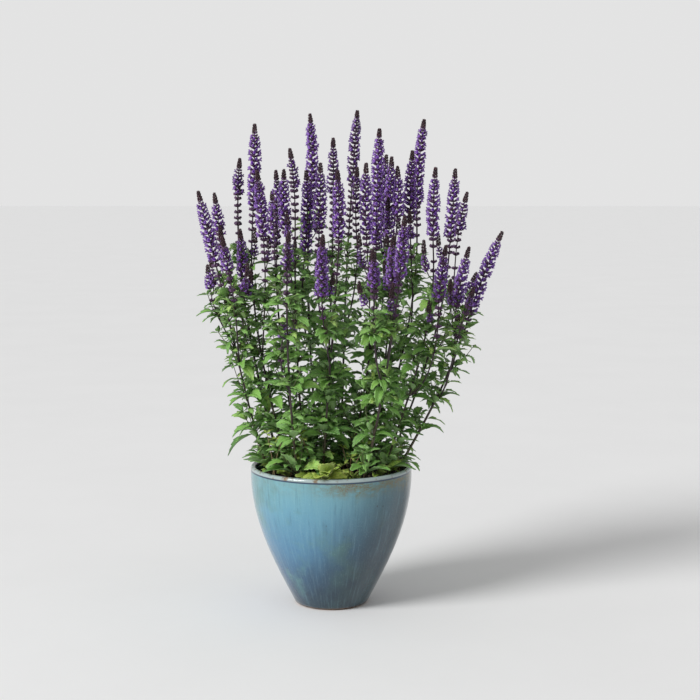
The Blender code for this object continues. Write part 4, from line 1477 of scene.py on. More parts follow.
@dataclass(frozen=True)
class CompostBed:
    """The compost: a lumpy plug, with crumbs, bark and grit lying on it."""

    shape: PotShape = PotShape()
    rings: int = 40
    sides: int = 120
    wall_rings: int = 8
    eye: float = 0.02
    edge_drop: float = 0.004
    lumps: float = 0.0034
    lump_layers: tuple = ((70, 3.1, 0.6), (240, 8.4, 0.4))
    tone: float = 0.4
    chips: int = 620
    chip_sizes: tuple = (0.0012, 0.0052)
    chip_flatness: tuple = (0.35, 0.8)
    chip_lengths: tuple = (1.0, 1.0, 1.3, 2.4)
    chip_lean: tuple = (-0.5, 0.5)
    chip_form: tuple = ((-1.0, 0.45), (-0.55, 0.95), (0.25, 1.05), (0.9, 0.5))
    chip_sides: int = 6
    chip_unevenness: tuple = (0.75, 1.15)
    chip_lift: float = 0.30
    chip_clearance: float = 0.001
    seed: int = 41

    def height(self, x: float, y: float) -> float:
        """How high the bed stands here: a low mound with lumps on it."""
        inner = self.shape.radius(self.shape.soil_top) - self.shape.wall
        mound = self.shape.soil_mound * (1.0 - min(1.0, math.hypot(x, y) / inner) ** 2)
        lumps = sum(
            size * noise.noise(Vector((x * scale, y * scale, layer)))
            for scale, layer, size in self.lump_layers)
        return self.shape.soil_top + mound + self.lumps * lumps

    def plug(self) -> None:
        """The bed itself, a closed body down to the floor of the pot."""
        shape = self.shape
        low = shape.floor + shape.soil_gap
        ways = round_ways(self.sides)
        rings = [circle(self.eye, low, ways)]
        for i in range(self.wall_rings + 1):
            height = blend(low, shape.soil_top - self.edge_drop, i / self.wall_rings)
            rings.append(circle(shape.radius(height) - shape.wall - shape.soil_gap * 2, height, ways))
        inner = shape.radius(shape.soil_top) - shape.wall - shape.soil_gap
        for i in range(self.rings):
            ring = circle(inner * (1.0 - i / self.rings), 0.0, ways)
            ring[:, 2] = [self.height(x, y) for x, y, _ in ring]
            rings.append(ring)
        mesh = PieceMesh()
        mesh.add(tube(np.array(rings), np.linspace(0, 1, len(rings))), self.tone)
        settle(mesh.make("compost_bed", [COMPOST.material()]), "compost", "compost")

    def chip(self, draw: random.Random) -> tuple[Surface, float]:
        """One crumb, flake of bark or piece of grit, and its tone."""
        size = blend(*self.chip_sizes, draw.random() ** 3)
        flat = draw.uniform(*self.chip_flatness)
        long = draw.choice(self.chip_lengths)
        inner = self.shape.radius(self.shape.soil_top) - self.shape.wall
        reach = inner - size * long - self.chip_clearance
        out, way = reach * math.sqrt(draw.random()), draw.uniform(0, 2 * math.pi)
        x, y = out * math.cos(way), out * math.sin(way)
        spin, lean = draw.uniform(0, 2 * math.pi), draw.uniform(*self.chip_lean)
        ways = round_ways(self.chip_sides)
        rings = []
        for station, girth in self.chip_form:
            radius = np.array([size * girth * draw.uniform(*self.chip_unevenness) for _ in ways]) / 2
            ahead = np.full(len(ways), station * size * long / 2)
            rings.append(np.stack([ahead, radius * np.cos(ways), radius * flat * np.sin(ways)], -1))
        c, s = math.cos(spin), math.sin(spin)
        cl, sl = math.cos(lean), math.sin(lean)
        turn = np.array(((c * cl, -s, -c * sl), (s * cl, c, -s * sl), (sl, 0, cl)))
        place = np.array((x, y, self.height(x, y) + size * flat * self.chip_lift))
        return tube(np.array(rings) @ turn.T + place, np.linspace(0, 1, len(rings))), draw.random() ** 2

    def build(self) -> None:
        """The plug, and the chips on it."""
        self.plug()
        draw = random.Random(self.seed)
        mesh = PieceMesh()
        for _ in range(self.chips):
            mesh.add(*self.chip(draw))
        settle(mesh.make("bark_and_crumbs", [CHIP.material()]), "compost")


@dataclass(frozen=True)
class LeafForm:
    """How finely a leaf blade is made, and its teeth, quilting and waves."""

    rows: int = 16
    columns: int = 7
    thickness: float = 0.0005
    tooth: float = 0.075
    tooth_lean: float = 0.55
    quilting: float = 0.00045
    quilts: float = 9.0
    wave: float = 0.14
    wave_count: tuple = (7.0, 12.0)
    wave_lag: float = 1.3
    edge_power: int = 5
    neck_rate: float = 8.0
    tip_rate: float = 12.0
    least_width: float = 0.03

    def surface(self, leaf: Leaf, draw: random.Random) -> Surface:
        """The closed blade of one leaf."""
        spread = np.linspace(-1.0, 1.0, self.columns)
        share, side = np.meshgrid(np.linspace(0.0, 1.0, self.rows + 1), spread, indexing="ij")
        past_neck = np.clip((share - leaf.petiole_share) * self.neck_rate, 0.0, 1.0)
        in_blade = past_neck * np.clip((1.0 - share) * self.tip_rate, 0.0, 1.0)
        edge = np.abs(side) ** self.edge_power * in_blade
        tooth = np.where(np.arange(self.rows + 1) % 2, 1.0, -1.0)[:, None]
        out = np.maximum(leaf.outline(share), self.least_width)
        across = side * out * (1.0 + self.tooth * tooth * edge)
        moved = np.clip(share + edge * tooth * self.tooth_lean / self.rows, 0.0, 1.0)
        phase = draw.uniform(0, 2 * math.pi)
        waves = np.sin(share * draw.uniform(*self.wave_count) + phase + np.sign(side) * self.wave_lag)
        ripple = self.wave * leaf.half_width * waves * side**2 * out * in_blade
        puff = np.cos(2 * math.pi * (share * self.quilts - np.abs(side) * 2.0)) * np.sin(np.pi * np.abs(side))
        rib = self.thickness * (side == 0.0) * in_blade
        raised = ripple + self.quilting * puff * out * in_blade - rib
        return blade(leaf.points(moved, across, raised), self.thickness)


@dataclass
class Sprig:
    """A young leafy shoot without flowers: the line that it grows along, and its leaves."""

    curve: Curve
    leaves: list[Leaf] = field(default_factory=list)


@dataclass(frozen=True)
class Foliage:
    """The leaves of the whole plant: the pair at each joint, and leafy sprigs and tufts in their axils."""

    planting: Planting = Planting()
    large: LeafForm = LeafForm()
    middling: LeafForm = LeafForm(rows=10, columns=5, thickness=0.00045, quilting=0.0003)
    small: LeafForm = LeafForm(rows=7, columns=3, thickness=0.00036, quilting=0.0, tooth=0.05)
    large_from: float = 0.046
    middling_from: float = 0.032
    sprig_lengths: tuple = (0.070, 0.044)
    sprig_sizes: tuple = (0.45, 1.15)
    sprig_node: float = 0.0155
    sprig_radii: tuple = (0.0010, 0.0006)
    sprig_start: tuple = (0.001, 0.004)
    sprig_swing: tuple = (-55, 55)
    sprig_lean: tuple = (28, 74)
    sprig_lift: float = 0.4
    sprig_bend: float = 0.4
    sprig_clearance: float = 0.001
    sprig_step: float = 0.003
    sprig_rings: int = 6
    sprig_tone: float = 0.6
    grown_height: float = 0.40
    pair_turn: tuple = (-0.4, 0.4)
    leaf_swing: tuple = (-28, 28)
    leaf_lengths: tuple = (0.050, 0.034)
    tip_leaf: float = 0.58
    clearance: float = 0.0006
    tries: int = 6
    leaf: LeafRange = LeafRange((0.72, 1.22), (5, 66), (30, 100), (18, 64), (8, 22), (1.00, 1.45))
    base_tone: float = 0.20
    tone_gains: tuple = (0.22, 0.22)
    tone_reaches: tuple = (0.16, 0.06)
    tone_spread: float = 0.19
    seed: int = 3000

    def sprig_line(self, shoot: Shoot, joint: Joint, face: int, length: float, draw: random.Random) -> Curve:
        """A line out of an axil that bends upwards."""
        along = shoot.curve.along(joint.share)
        start = shoot.curve.at(joint.share) + along * draw.uniform(*self.sprig_start)
        outward = level(shoot.face_way(joint.share, face))
        way = turned(outward, math.radians(draw.uniform(*self.sprig_swing)))
        lean = math.radians(draw.uniform(*self.sprig_lean))
        angles = (lean, lean + self.sprig_lift)
        first, last = (way * math.cos(angle) + Vector((0, 0, math.sin(angle))) for angle in angles)
        middle = start + first * (length * self.sprig_bend)
        end = middle + last * (length * (1.0 - self.sprig_bend))
        return Curve((start, start + first * (length * self.sprig_bend / 2), middle, end), way)

    def sprig(self, shoot: Shoot, joint: Joint, face: int, crowd: Crowd, draw: random.Random) -> Sprig | None:
        """A sprig with pairs of leaves up it and a tuft at its tip, if its line finds room."""
        pot = self.planting.pot
        share = clamped((shoot.curve.at(joint.share).z - pot.soil_top) / self.grown_height)
        usual = blend(*self.sprig_lengths, share)
        for attempt in range(self.tries):
            length = usual * draw.uniform(*self.sprig_sizes) * (1.0 - attempt / (self.tries + 2))
            curve = self.sprig_line(shoot, joint, face, length, draw)
            points = np.array(curve.spread(self.sprig_step))
            free = crowd.lets_in(points, self.sprig_radii[0], curve.at(0.0))
            if free and pot.clears(points, self.sprig_clearance):
                break
        else:
            return None
        crowd.add(points, self.sprig_radii[0])
        made = Sprig(curve)
        nodes = max(1, round(length / self.sprig_node))
        size = blend(*self.leaf_lengths, share)
        for node in range(nodes + 1):
            place = min(1.0, (node + 0.5) / (nodes + 0.5))
            pairs = 4 if node == nodes else 2
            turn = draw.uniform(*self.pair_turn) + node * math.pi / 2
            usual_leaf = size * blend(1.0, self.tip_leaf, place)
            for k in range(pairs):
                heading = turned(curve.facing, turn + k * 2 * math.pi / pairs)
                for _ in range(self.tries):
                    swung = turned(heading, math.radians(draw.uniform(*self.leaf_swing)))
                    leaf = self.leaf.leaf(curve.at(place), swung, usual_leaf, draw)
                    if self.planting.takes(leaf, crowd, self.clearance):
                        made.leaves.append(leaf)
                        break
        return made

    def sprigs_of(self, shoots: list[Shoot], crowd: Crowd, draw: random.Random) -> list[Sprig]:
        """The sprigs of a stem and its side shoots."""
        found = []
        for shoot in shoots:
            for joint in shoot.joints:
                for face in (*joint.faces, *joint.faces, *joint.faces[:1]):
                    found.append(self.sprig(shoot, joint, face, crowd, draw))
        return [sprig for sprig in found if sprig]

    def form_for(self, leaf: Leaf) -> LeafForm:
        """How finely a leaf of this length is made."""
        if leaf.length > self.large_from:
            return self.large
        return self.middling if leaf.length > self.middling_from else self.small

    def tone(self, leaf: Leaf, draw: random.Random) -> float:
        """Darker inside, as painted shade, and low down; lighter for small and high leaves, and never twice
        the same.
        """
        # Painted shade: leaves nearer the middle of the plant are made darker, outer ones lighter; small
        # young leaves are lighter too.
        out = math.hypot(leaf.root.x, leaf.root.y) / self.tone_reaches[0]
        young = 1.0 - min(1.0, leaf.length / self.tone_reaches[1])
        outer_light_and_age = self.base_tone + self.tone_gains[0] * out + self.tone_gains[1] * young
        return clamped(outer_light_and_age + draw.gauss(0.0, self.tone_spread))

    def build(self, plan: list[list[Shoot]], crowd: Crowd) -> None:
        """One piece of foliage for each stem."""
        stems = Stems()
        for number, shoots in enumerate(plan, start=1):
            draw = random.Random(self.seed + number)
            mesh = PieceMesh()
            leaves = [leaf for shoot in shoots for joint in shoot.joints for leaf in joint.leaves.values()]
            for sprig in self.sprigs_of(shoots, crowd, draw):
                leaves += sprig.leaves
                shares = np.linspace(0.0, 1.0, self.sprig_rings)
                stems.stalk(mesh, sprig.curve, self.sprig_radii, shares, self.sprig_tone, 1)
            for leaf in leaves:
                mesh.add(self.form_for(leaf).surface(leaf, draw), self.tone(leaf, draw))
            piece = mesh.make(f"foliage_{number:02d}", [LEAF_SKIN.material(), SPRIG_SKIN.material()])
            settle(piece, "leafy_stem", f"leafy_stem_{number:02d}")
            log.info("  %d leaves", len(leaves))


class Rosette(NamedTuple):
    """A tuft of young leaves on the compost: its place in millimetres, how its leaves lie, and their tone."""

    place: tuple
    heading: float
    spread: float
    leaves: int
    length: float
    tone: float = 0.15


@dataclass(frozen=True)
class YoungGrowth:
    """What comes up between the stems: yellow green tufts at the front, and thin bare shoots."""

    foliage: Foliage = Foliage()
    rosettes: tuple = (
        Rosette((-9, -111), 268, 40, 4, 0.060, 0.85),
        Rosette((-12, -100), 268, 190, 16, 0.046, 0.75),
        Rosette((-28, -88), 250, 200, 10, 0.040, 0.55),
        Rosette((6, -84), 280, 200, 10, 0.036, 0.60),
        Rosette((40, -92), 285, 200, 8, 0.028, 0.45),
        Rosette((84, -66), 300, 150, 9, 0.044, 0.30),
        Rosette((100, -28), 340, 130, 8, 0.046, 0.25),
        Rosette((-70, -62), 220, 150, 8, 0.042),
        Rosette((-100, -20), 180, 140, 8, 0.040),
        Rosette((-60, 84), 120, 160, 8, 0.042),
        Rosette((60, 88), 60, 160, 8, 0.042),
        Rosette((0, 104), 90, 160, 8, 0.040),
        Rosette((100, 50), 25, 140, 8, 0.042),
        Rosette((-96, 50), 155, 140, 8, 0.042),
    )
    rise: tuple = (46, 88)
    droop: tuple = (45, 125)
    petiole_share: float = 0.22
    root_lift: float = 0.002
    clearance: float = 0.0006
    bare_share: float = 0.3
    tone_spread: float = 0.18
    tries: int = 40
    shoots: int = 64
    shoot_lengths: tuple = (0.030, 0.085)
    shoot_radii: tuple = (0.0008, 0.0005)
    shoot_lean: tuple = (0.05, 0.5)
    shoot_spread: float = 0.86
    shoot_facing: tuple = (0.8, 0.6, 0.0)
    shoot_root: float = 0.002
    shoot_bend: tuple = (0.2, 0.35, 0.6)
    shoot_step: float = 0.003
    shoot_rings: int = 7
    shoot_leaf: float = 0.016
    shoot_tone: float = 0.6
    seed: int = 9100

    def tuft(self, rosette: Rosette, crowd: Crowd, draw: random.Random) -> list[Leaf]:
        """The leaves of one rosette that find room, past the bare stalks that stand in the compost."""
        rules = self.foliage.planting
        x, y = rosette.place
        root = Vector((x * MM, y * MM, rules.pot.soil_top + self.root_lift))
        found = []
        for _ in range(rosette.leaves):
            for _ in range(self.tries):
                way = math.radians(rosette.heading + draw.uniform(-0.5, 0.5) * rosette.spread)
                leaf = self.foliage.leaf.leaf(root, turned(EAST, way), rosette.length, draw)
                leaf.rise = math.radians(draw.uniform(*self.rise))
                leaf.droop = math.radians(draw.uniform(*self.droop))
                leaf.petiole_share = self.petiole_share
                points = leaf.samples(rules.sample_step)
                far = np.linalg.norm(points - np.array(root), axis=1)
                points = points[far > self.bare_share * leaf.length]
                if rules.pot.clears(points, 0.0) and crowd.lets_in(points, self.clearance, root):
                    crowd.add(points, self.clearance)
                    found.append(leaf)
                    break
        return found

    def shoot(self, crowd: Crowd, draw: random.Random) -> Curve | None:
        """A thin shoot that rises from the compost, if it finds room."""
        pot = self.foliage.planting.pot
        out = pot.rim_radius * self.shoot_spread * math.sqrt(draw.random())
        way = draw.uniform(0, 2 * math.pi)
        start = Vector((out * math.cos(way), out * math.sin(way), pot.soil_top - self.shoot_root))
        lean = turned(EAST, draw.uniform(0, 2 * math.pi)) * draw.uniform(*self.shoot_lean)
        length = draw.uniform(*self.shoot_lengths)
        upright, low, high = self.shoot_bend
        first = start + Vector((lean.x * upright, lean.y * upright, 1.0)) * (length * low)
        last = start + Vector((lean.x, lean.y, 1.0)) * length
        curve = Curve((start, first, first.lerp(last, high), last), Vector(self.shoot_facing))
        points = np.array(curve.spread(self.shoot_step))
        if crowd.lets_in(points, self.shoot_radii[0], start):
            crowd.add(points, self.shoot_radii[0])
            return curve
        return None

    def build(self, crowd: Crowd) -> None:
        """The tufts in one piece and the thin shoots in another."""
        draw = random.Random(self.seed)
        tufts, shoots = PieceMesh(), PieceMesh()
        for rosette in self.rosettes:
            for leaf in self.tuft(rosette, crowd, draw):
                surface = self.foliage.form_for(leaf).surface(leaf, draw)
                tufts.add(surface, clamped(draw.gauss(rosette.tone, self.tone_spread)))
        shares = np.linspace(0.0, 1.0, self.shoot_rings)
        for _ in range(self.shoots):
            curve = self.shoot(crowd, draw)
            if curve is None:
                continue
            Stems().stalk(shoots, curve, self.shoot_radii, shares, draw.random())
            for k in range(4):
                heading = turned(curve.facing, k * math.pi / 2)
                leaf = self.foliage.leaf.leaf(curve.at(1.0), heading, self.shoot_leaf, draw)
                if self.foliage.planting.takes(leaf, crowd, self.foliage.clearance):
                    tufts.add(self.foliage.small.surface(leaf, draw), self.shoot_tone)
        settle(tufts.make("young_tufts", [YOUNG_LEAF.material()]), "leafy_stem")
        settle(shoots.make("young_shoots", [YOUNG_STEM.material()]), "leafy_stem")


@dataclass(frozen=True)
class Stems:
    """The square stems and side shoots, with swollen joints."""

    planting: Planting = Planting()
    ring_step: float = 0.009
    corner: float = 1.0
    flat: float = 0.78
    swelling: float = 0.32
    swollen: float = 0.0022
    joint_rings: tuple = (-3.5, -1.5, 0.0, 1.5, 3.5)
    tone: float = 0.3
    depth: float = 0.020

    def section(self, curve: Curve, share: float, radius: float, shift: float = 0.0) -> np.ndarray:
        """Eight points of a square section with hollowed faces."""
        middle, (across, third, along) = curve.frame_at(share)
        angle = np.arange(8) * math.pi / 4
        reach = np.where(np.arange(8) % 2, self.corner, self.flat)[:, None] * radius
        ways = np.cos(angle)[:, None] * across + np.sin(angle)[:, None] * third
        return middle + along * shift + ways * reach

    def stalk(self, mesh: PieceMesh, curve: Curve, radii: tuple, shares: np.ndarray, tone: float,
              slot: int = 0, sunk: float = 0.0) -> None:
        """Adds a tapered stalk.

        Args:
            mesh: What it is added to.
            curve: The line that it follows.
            radii: Its radius at the foot and at the top.
            shares: Where its rings stand.
            tone: Its tone.
            slot: Which finish it wears.
            sunk: How far its foot goes back into what it grows from.
        """
        rings = [self.section(curve, share, blend(*radii, share)) for share in shares]
        if sunk:
            rings[0] = self.section(curve, shares[0], radii[0], -sunk)
        mesh.add(tube(np.array(rings), shares), tone, slot)

    def stem(self, shoot: Shoot, mesh: PieceMesh) -> None:
        """Adds one stem or side shoot, closer ringed at its joints."""
        length = shoot.curve.length()
        shares = list(np.linspace(0.0, 1.0, max(4, round(length / self.ring_step)) + 1))
        marks = [joint.share for joint in shoot.joints]
        for mark in marks:
            shares += [mark + offset * MM / length for offset in self.joint_rings]
        shares = sorted(share for share in shares if 0.0 <= share <= 1.0)
        rings = []
        for share in shares:
            near = min([abs(share - mark) for mark in marks], default=1.0) * length
            radius = shoot.radius(share) * (1.0 + self.swelling * math.exp(-((near / self.swollen) ** 2)))
            rings.append(self.section(shoot.curve, share, radius))
        if shoot.face is None:
            rings.insert(0, self.section(shoot.curve, 0.0, shoot.radius(0.0), -self.depth))
            shares.insert(0, 0.0)
        mesh.add(tube(np.array(rings), np.array(shares)), self.tone)

    def build(self, plan: list[list[Shoot]]) -> None:
        """One piece for each stem with its side shoots."""
        for number, shoots in enumerate(plan, start=1):
            mesh = PieceMesh()
            for shoot in shoots:
                self.stem(shoot, mesh)
            piece = mesh.make(f"stem_{number:02d}", [STEM_SKIN.material()])
            settle(piece, "leafy_stem", f"leafy_stem_{number:02d}")


class FloretStage(Enum):
    """How far a floret has come."""

    BUD = "bud"
    OPEN = "open"
    SPENT = "spent"


class Habit(Enum):
    """How a spike flowers: the share of it that is spent, the share of open florets, and its tone."""

    FRESH = (0.10, 0.97, 0.70)
    FULL = (0.24, 0.92, 0.50)
    FADING = (0.45, 0.60, 0.18)


class Whorl(NamedTuple):
    """A ring of florets: its height up the spike, their stage and their size."""

    height: float
    stage: FloretStage
    size: float


class Petal(NamedTuple):
    """A petal: its line as (x, z) in the calyx's lengths, its widths, the most of them, and its cupping."""

    line: tuple
    shares: tuple
    width: float
    cup: float


@dataclass(frozen=True)
class Floret:
    """The parts of one floret. It points along X with its upper lip towards Z."""

    calyx_length: float = 0.0072
    calyx_mouth: float = 0.0021
    calyx_sides: int = 5
    calyx_form: tuple = ((0.0, 0.45, 0.0), (0.40, 0.92, 0.0), (1.0, 1.12, 0.10), (0.62, 0.62, 0.0))
    calyx_pattern: tuple = (0.0, 0.4, 1.0, 0.6)
    bud_form: tuple = ((0.0, 0.45), (0.30, 1.0), (0.68, 0.80), (1.0, 0.16))
    bud_sides: int = 4
    hood: Petal = Petal(
        ((0.70, 0.05), (1.12, 0.26), (1.50, 0.50), (1.80, 0.50)), (0.60, 0.95, 1.05, 0.60), 0.0026, 1.10)
    apron: Petal = Petal(((0.74, -0.08), (1.24, -0.16), (1.56, -0.48)), (0.45, 0.85, 0.95), 0.0036, -0.70)
    bract: Petal = Petal(((0.05, 0.0), (0.50, 0.08), (1.10, -0.16)), (0.5, 1.0, 0.12), 0.0036, -0.3)
    skin: float = 0.00028

    def calyx(self) -> Surface:
        """The ribbed bell, longer at its upper lip and hollow at the mouth."""
        ways = round_ways(self.calyx_sides) + math.pi / self.calyx_sides
        rings = []
        for share, girth, lean in self.calyx_form:
            radius = self.calyx_mouth * girth
            x = self.calyx_length * (share + lean * np.sin(ways))
            rings.append(np.stack([x, radius * np.cos(ways), radius * np.sin(ways)], -1))
        return tube(np.array(rings), np.array(self.calyx_pattern))

    def bud(self) -> Surface:
        """A closed bud, pointed and keeled."""
        ways = round_ways(self.bud_sides)
        rings = []
        for share, girth in self.bud_form:
            radius = self.calyx_mouth * girth
            x = np.full(len(ways), self.calyx_length * share)
            rings.append(np.stack([x, radius * np.cos(ways), radius * np.sin(ways)], -1))
        return tube(np.array(rings), np.linspace(0, 1, len(rings)))

    def petal(self, form: Petal) -> Surface:
        """A petal, cupped towards its own back."""
        rows = []
        for (x, z), share in zip(form.line, form.shares):
            x, z, width = x * self.calyx_length, z * self.calyx_length, share * form.width
            rows.append([(x, width * side, z - form.cup * width * side * side) for side in (-1.0, 0.0, 1.0)])
        return blade(np.array(rows), self.skin)


@dataclass(frozen=True)
class FlowerSpikes:
    """The forty flower spikes, each a square axis with whorls of florets and a cone of buds on top."""

    floret: Floret = Floret()
    stems: Stems = Stems()
    cone_length: float = 0.0185
    cone_most: float = 0.28
    cone_radius: float = 0.0040
    cone_step: float = 0.0024
    open_steps: tuple = (0.0046, 0.0080)
    spent_step: float = 0.0114
    foot_gap: float = 0.003
    florets: int = 5
    elevations: tuple = (16.0, 36.0)
    axis_top: float = 0.0007
    axis_end: float = 0.97
    axis_rings: int = 14
    axis_tone: float = 0.2
    axis_sunk: float = 0.002
    bud_whorls: int = 2
    bud_sizes: tuple = (0.58, 0.12)
    bud_out: float = 0.0022
    bud_size: float = 0.8
    open_sizes: tuple = (0.62, 1.04)
    full_after: int = 8
    uneven_steps: tuple = (0.9, 1.1)
    uneven_ways: float = 0.16
    uneven_sizes: tuple = (0.90, 1.10)
    apron_lighter: float = 0.1
    spent_lift: float = 10.0
    whorl_out: float = 0.0006
    tone_spread: float = 0.13
    bract_lifts: tuple = (5, 30)
    bract_drop: float = 0.0010
    bract_size: float = 0.85
    cone_buds: int = 5
    cone_uneven: float = 0.12
    cone_lifts: tuple = (46, 60)
    cone_closing: float = 22.0
    cone_end: float = 0.975
    cone_sizes: tuple = (0.70, 0.46)
    cone_tone: tuple = (0.5, 0.26)
    cone_tip: tuple = (88.0, 0.56, 0.4)
    below_foot: tuple = (0.013, 0.029)
    below_foot_size: float = 0.85
    side_from: tuple = (0.84, 0.99)
    side_lengths: tuple = (0.048, 0.080)
    side_lean: tuple = (14, 28)
    side_start: tuple = (0.9, 0.4, 0.25)
    side_end: float = 0.45
    side_reach: float = 0.0040
    side_step: float = 0.004
    side_radii: tuple = (0.0011, 0.0006)
    side_rings: int = 9
    side_stalk: float = 0.35
    side_size: float = 0.78
    side_tries: int = 16
    seed: int = 7000
    habit_odds: tuple = (3, 6, 1)
    special: tuple = ((5, Habit.FADING), (12, Habit.FRESH), (36, Habit.FADING), (40, Habit.FADING))

    def habit(self, number: int, draw: random.Random) -> Habit:
        """The habit of a numbered spike."""
        drawn = draw.choices(tuple(Habit), self.habit_odds)[0]
        return dict(self.special).get(number, drawn)

    def whorls(self, length: float, habit: Habit, draw: random.Random) -> list[Whorl]:
        """The whorls from the cone down: small ones, open ones close together, then spent ones apart."""
        height = length - min(self.cone_length, self.cone_most * length)
        spent_below = length * habit.value[0] * draw.uniform(0.8, 1.2)
        found = []
        while height > self.foot_gap:
            share = min(1.0, len(found) / self.full_after)
            step = blend(*self.open_steps, share)
            if len(found) < self.bud_whorls:
                stage, size = FloretStage.BUD, self.bud_sizes[0] + self.bud_sizes[1] * len(found)
            elif height > spent_below:
                stage, size = FloretStage.OPEN, blend(*self.open_sizes, share)
            else:
                stage, size, step = FloretStage.SPENT, 1.0, self.spent_step
            found.append(Whorl(height, stage, size))
            height -= step * draw.uniform(*self.uneven_steps)
        return found

    def frames(self, crest: Curve, share: float, ways: np.ndarray, lifts: np.ndarray, out: float) -> tuple:
        """Where florets stand round the axis.

        Args:
            crest: The spike's own line.
            share: How far up it they are.
            ways: The angle of each floret round the axis.
            lifts: How far each one points upwards, in radians.
            out: How far out it starts.

        Returns:
            The origins and the three directions of each, as columns.
        """
        middle, (across, third, along) = crest.frame_at(share)
        radial = np.cos(ways)[:, None] * across + np.sin(ways)[:, None] * third
        ahead = np.cos(lifts)[:, None] * radial + np.sin(lifts)[:, None] * along
        upper = np.cos(lifts)[:, None] * along - np.sin(lifts)[:, None] * radial
        sideways = np.cross(upper, ahead)
        return middle + radial * out, np.stack([ahead, sideways, upper], -1)

    def put(self, mesh: PieceMesh, surface: Surface, at: tuple, sizes: np.ndarray, tones: np.ndarray,
            slot: int) -> None:
        """Adds a surface at each of some frames."""
        origins, ways = at
        places = origins[:, None] + np.einsum("kij,nj->kni", ways, surface.points) * sizes[:, None, None]
        mesh.add_copies(surface, places, np.clip(tones, 0.0, 1.0), slot)

    def whorl(self, mesh: PieceMesh, crest: Curve, length: float, whorl: Whorl, number: int, habit: Habit,
              rng: np.random.Generator) -> None:
        """Adds one whorl: its florets, and a pair of bracts under it."""
        share = whorl.height / length
        _, chance, tone = habit.value
        ways = (np.arange(self.florets) + 0.5 * (number % 2)) * 2 * np.pi / self.florets
        ways = ways + rng.uniform(-self.uneven_ways, self.uneven_ways, self.florets)
        lifts = np.radians(rng.uniform(*self.elevations, self.florets))
        if whorl.stage is FloretStage.SPENT:
            lifts = lifts + math.radians(self.spent_lift)
        at = self.frames(crest, share, ways, lifts, self.whorl_out)
        sizes = whorl.size * rng.uniform(*self.uneven_sizes, self.florets)
        tones = tone + rng.normal(0.0, self.tone_spread, self.florets)
        self.put(mesh, self.floret.calyx(), at, sizes, tones, 1)
        if whorl.stage is FloretStage.OPEN:
            shown = rng.random(self.florets) < chance
            opened = (at[0][shown], at[1][shown])
            for petal, lighter in ((self.floret.hood, 0.0), (self.floret.apron, self.apron_lighter)):
                self.put(mesh, self.floret.petal(petal), opened, sizes[shown], tones[shown] + lighter, 2)
        elif whorl.stage is FloretStage.BUD:
            inner = (at[0] + at[1][:, :, 0] * self.bud_out * whorl.size, at[1])
            self.put(mesh, self.floret.bud(), inner, sizes * self.bud_size, tones, 2)
        ways = np.array((0.0, np.pi)) + number * math.pi / 2
        pair = self.frames(crest, share, ways, np.radians(rng.uniform(*self.bract_lifts, 2)), self.whorl_out)
        below = (pair[0] - crest.frame_at(share)[1][2] * self.bract_drop, pair[1])
        sizes = np.full(2, self.bract_size * whorl.size)
        self.put(mesh, self.floret.petal(self.floret.bract), below, sizes, tones[:2], 3)

    def cone(self, mesh: PieceMesh, crest: Curve, length: float, rng: np.random.Generator) -> None:
        """Adds the cone of buds, whorl on whorl, closing to a blunt tip."""
        reach = min(self.cone_length, self.cone_most * length)
        rows = max(4, round(reach / self.cone_step))
        count = self.cone_buds
        for row in range(rows):
            rise = row / rows
            share = min((length - reach * (1.0 - rise)) / length, self.cone_end)
            girth = self.cone_radius * (1.0 - rise**3) ** 0.5
            ways = (np.arange(count) + 0.5 * (row % 2)) * 2 * np.pi / count
            ways = ways + rng.uniform(-self.cone_uneven, self.cone_uneven, count)
            lifts = np.radians(rng.uniform(*self.cone_lifts, count) + self.cone_closing * rise)
            at = self.frames(crest, share, ways, lifts, girth / 2)
            tones = self.cone_tone[0] + rng.normal(0.0, self.cone_tone[1], count)
            self.put(mesh, self.floret.bud(), at, np.full(count, blend(*self.cone_sizes, rise)), tones, 3)
        lift, size, tone = self.cone_tip
        last = self.frames(crest, self.cone_end, np.zeros(1), np.radians([lift]), 0.0)
        self.put(mesh, self.floret.bud(), last, np.full(1, size), np.full(1, tone), 3)

    def spike(self, mesh: PieceMesh, curve: Curve, habit: Habit, draw: random.Random,
              rng: np.random.Generator, bare: float = 0.0, size: float = 1.0) -> None:
        """Adds the whorls and the cone of one spike.

        Args:
            mesh: What they are added to.
            curve: The spike's own line.
            habit: How it flowers.
            draw: Draws the whorls' places.
            rng: Draws the florets.
            bare: The share of its length below which it has no whorls.
            size: The size of its whorls.
        """
        length = curve.length()
        for row, whorl in enumerate(self.whorls(length, habit, draw)):
            if whorl.height > bare * length:
                self.whorl(mesh, curve, length, whorl._replace(size=whorl.size * size), row, habit, rng)
        self.cone(mesh, curve, length, rng)

    def side_line(self, shoot: Shoot, crowd: Crowd, draw: random.Random) -> Curve | None:
        """The line of a small side spike out of the top of a shoot, if it finds room."""
        for _ in range(self.side_tries):
            share = draw.uniform(*self.side_from)
            way = turned(EAST, draw.uniform(0.0, 2 * math.pi))
            length = draw.uniform(*self.side_lengths)
            lean = math.radians(draw.uniform(*self.side_lean))
            start, rise = shoot.curve.at(share), shoot.curve.along(share)
            end = start + (rise * math.cos(lean) + way * math.sin(lean)) * length
            straight = start + rise * length
            if math.hypot(end.x, end.y) > math.hypot(straight.x, straight.y):
                continue
            sideways, upward, pull = self.side_start
            first = start + (way * sideways + rise * upward) * (length * pull)
            curve = Curve((start, first, end - rise * (length * self.side_end), end), way)
            points = np.array(curve.spread(self.side_step))
            if crowd.lets_in(points[len(points) // 2:], self.side_reach, start):
                crowd.add(points, self.side_reach)
                return curve
        return None

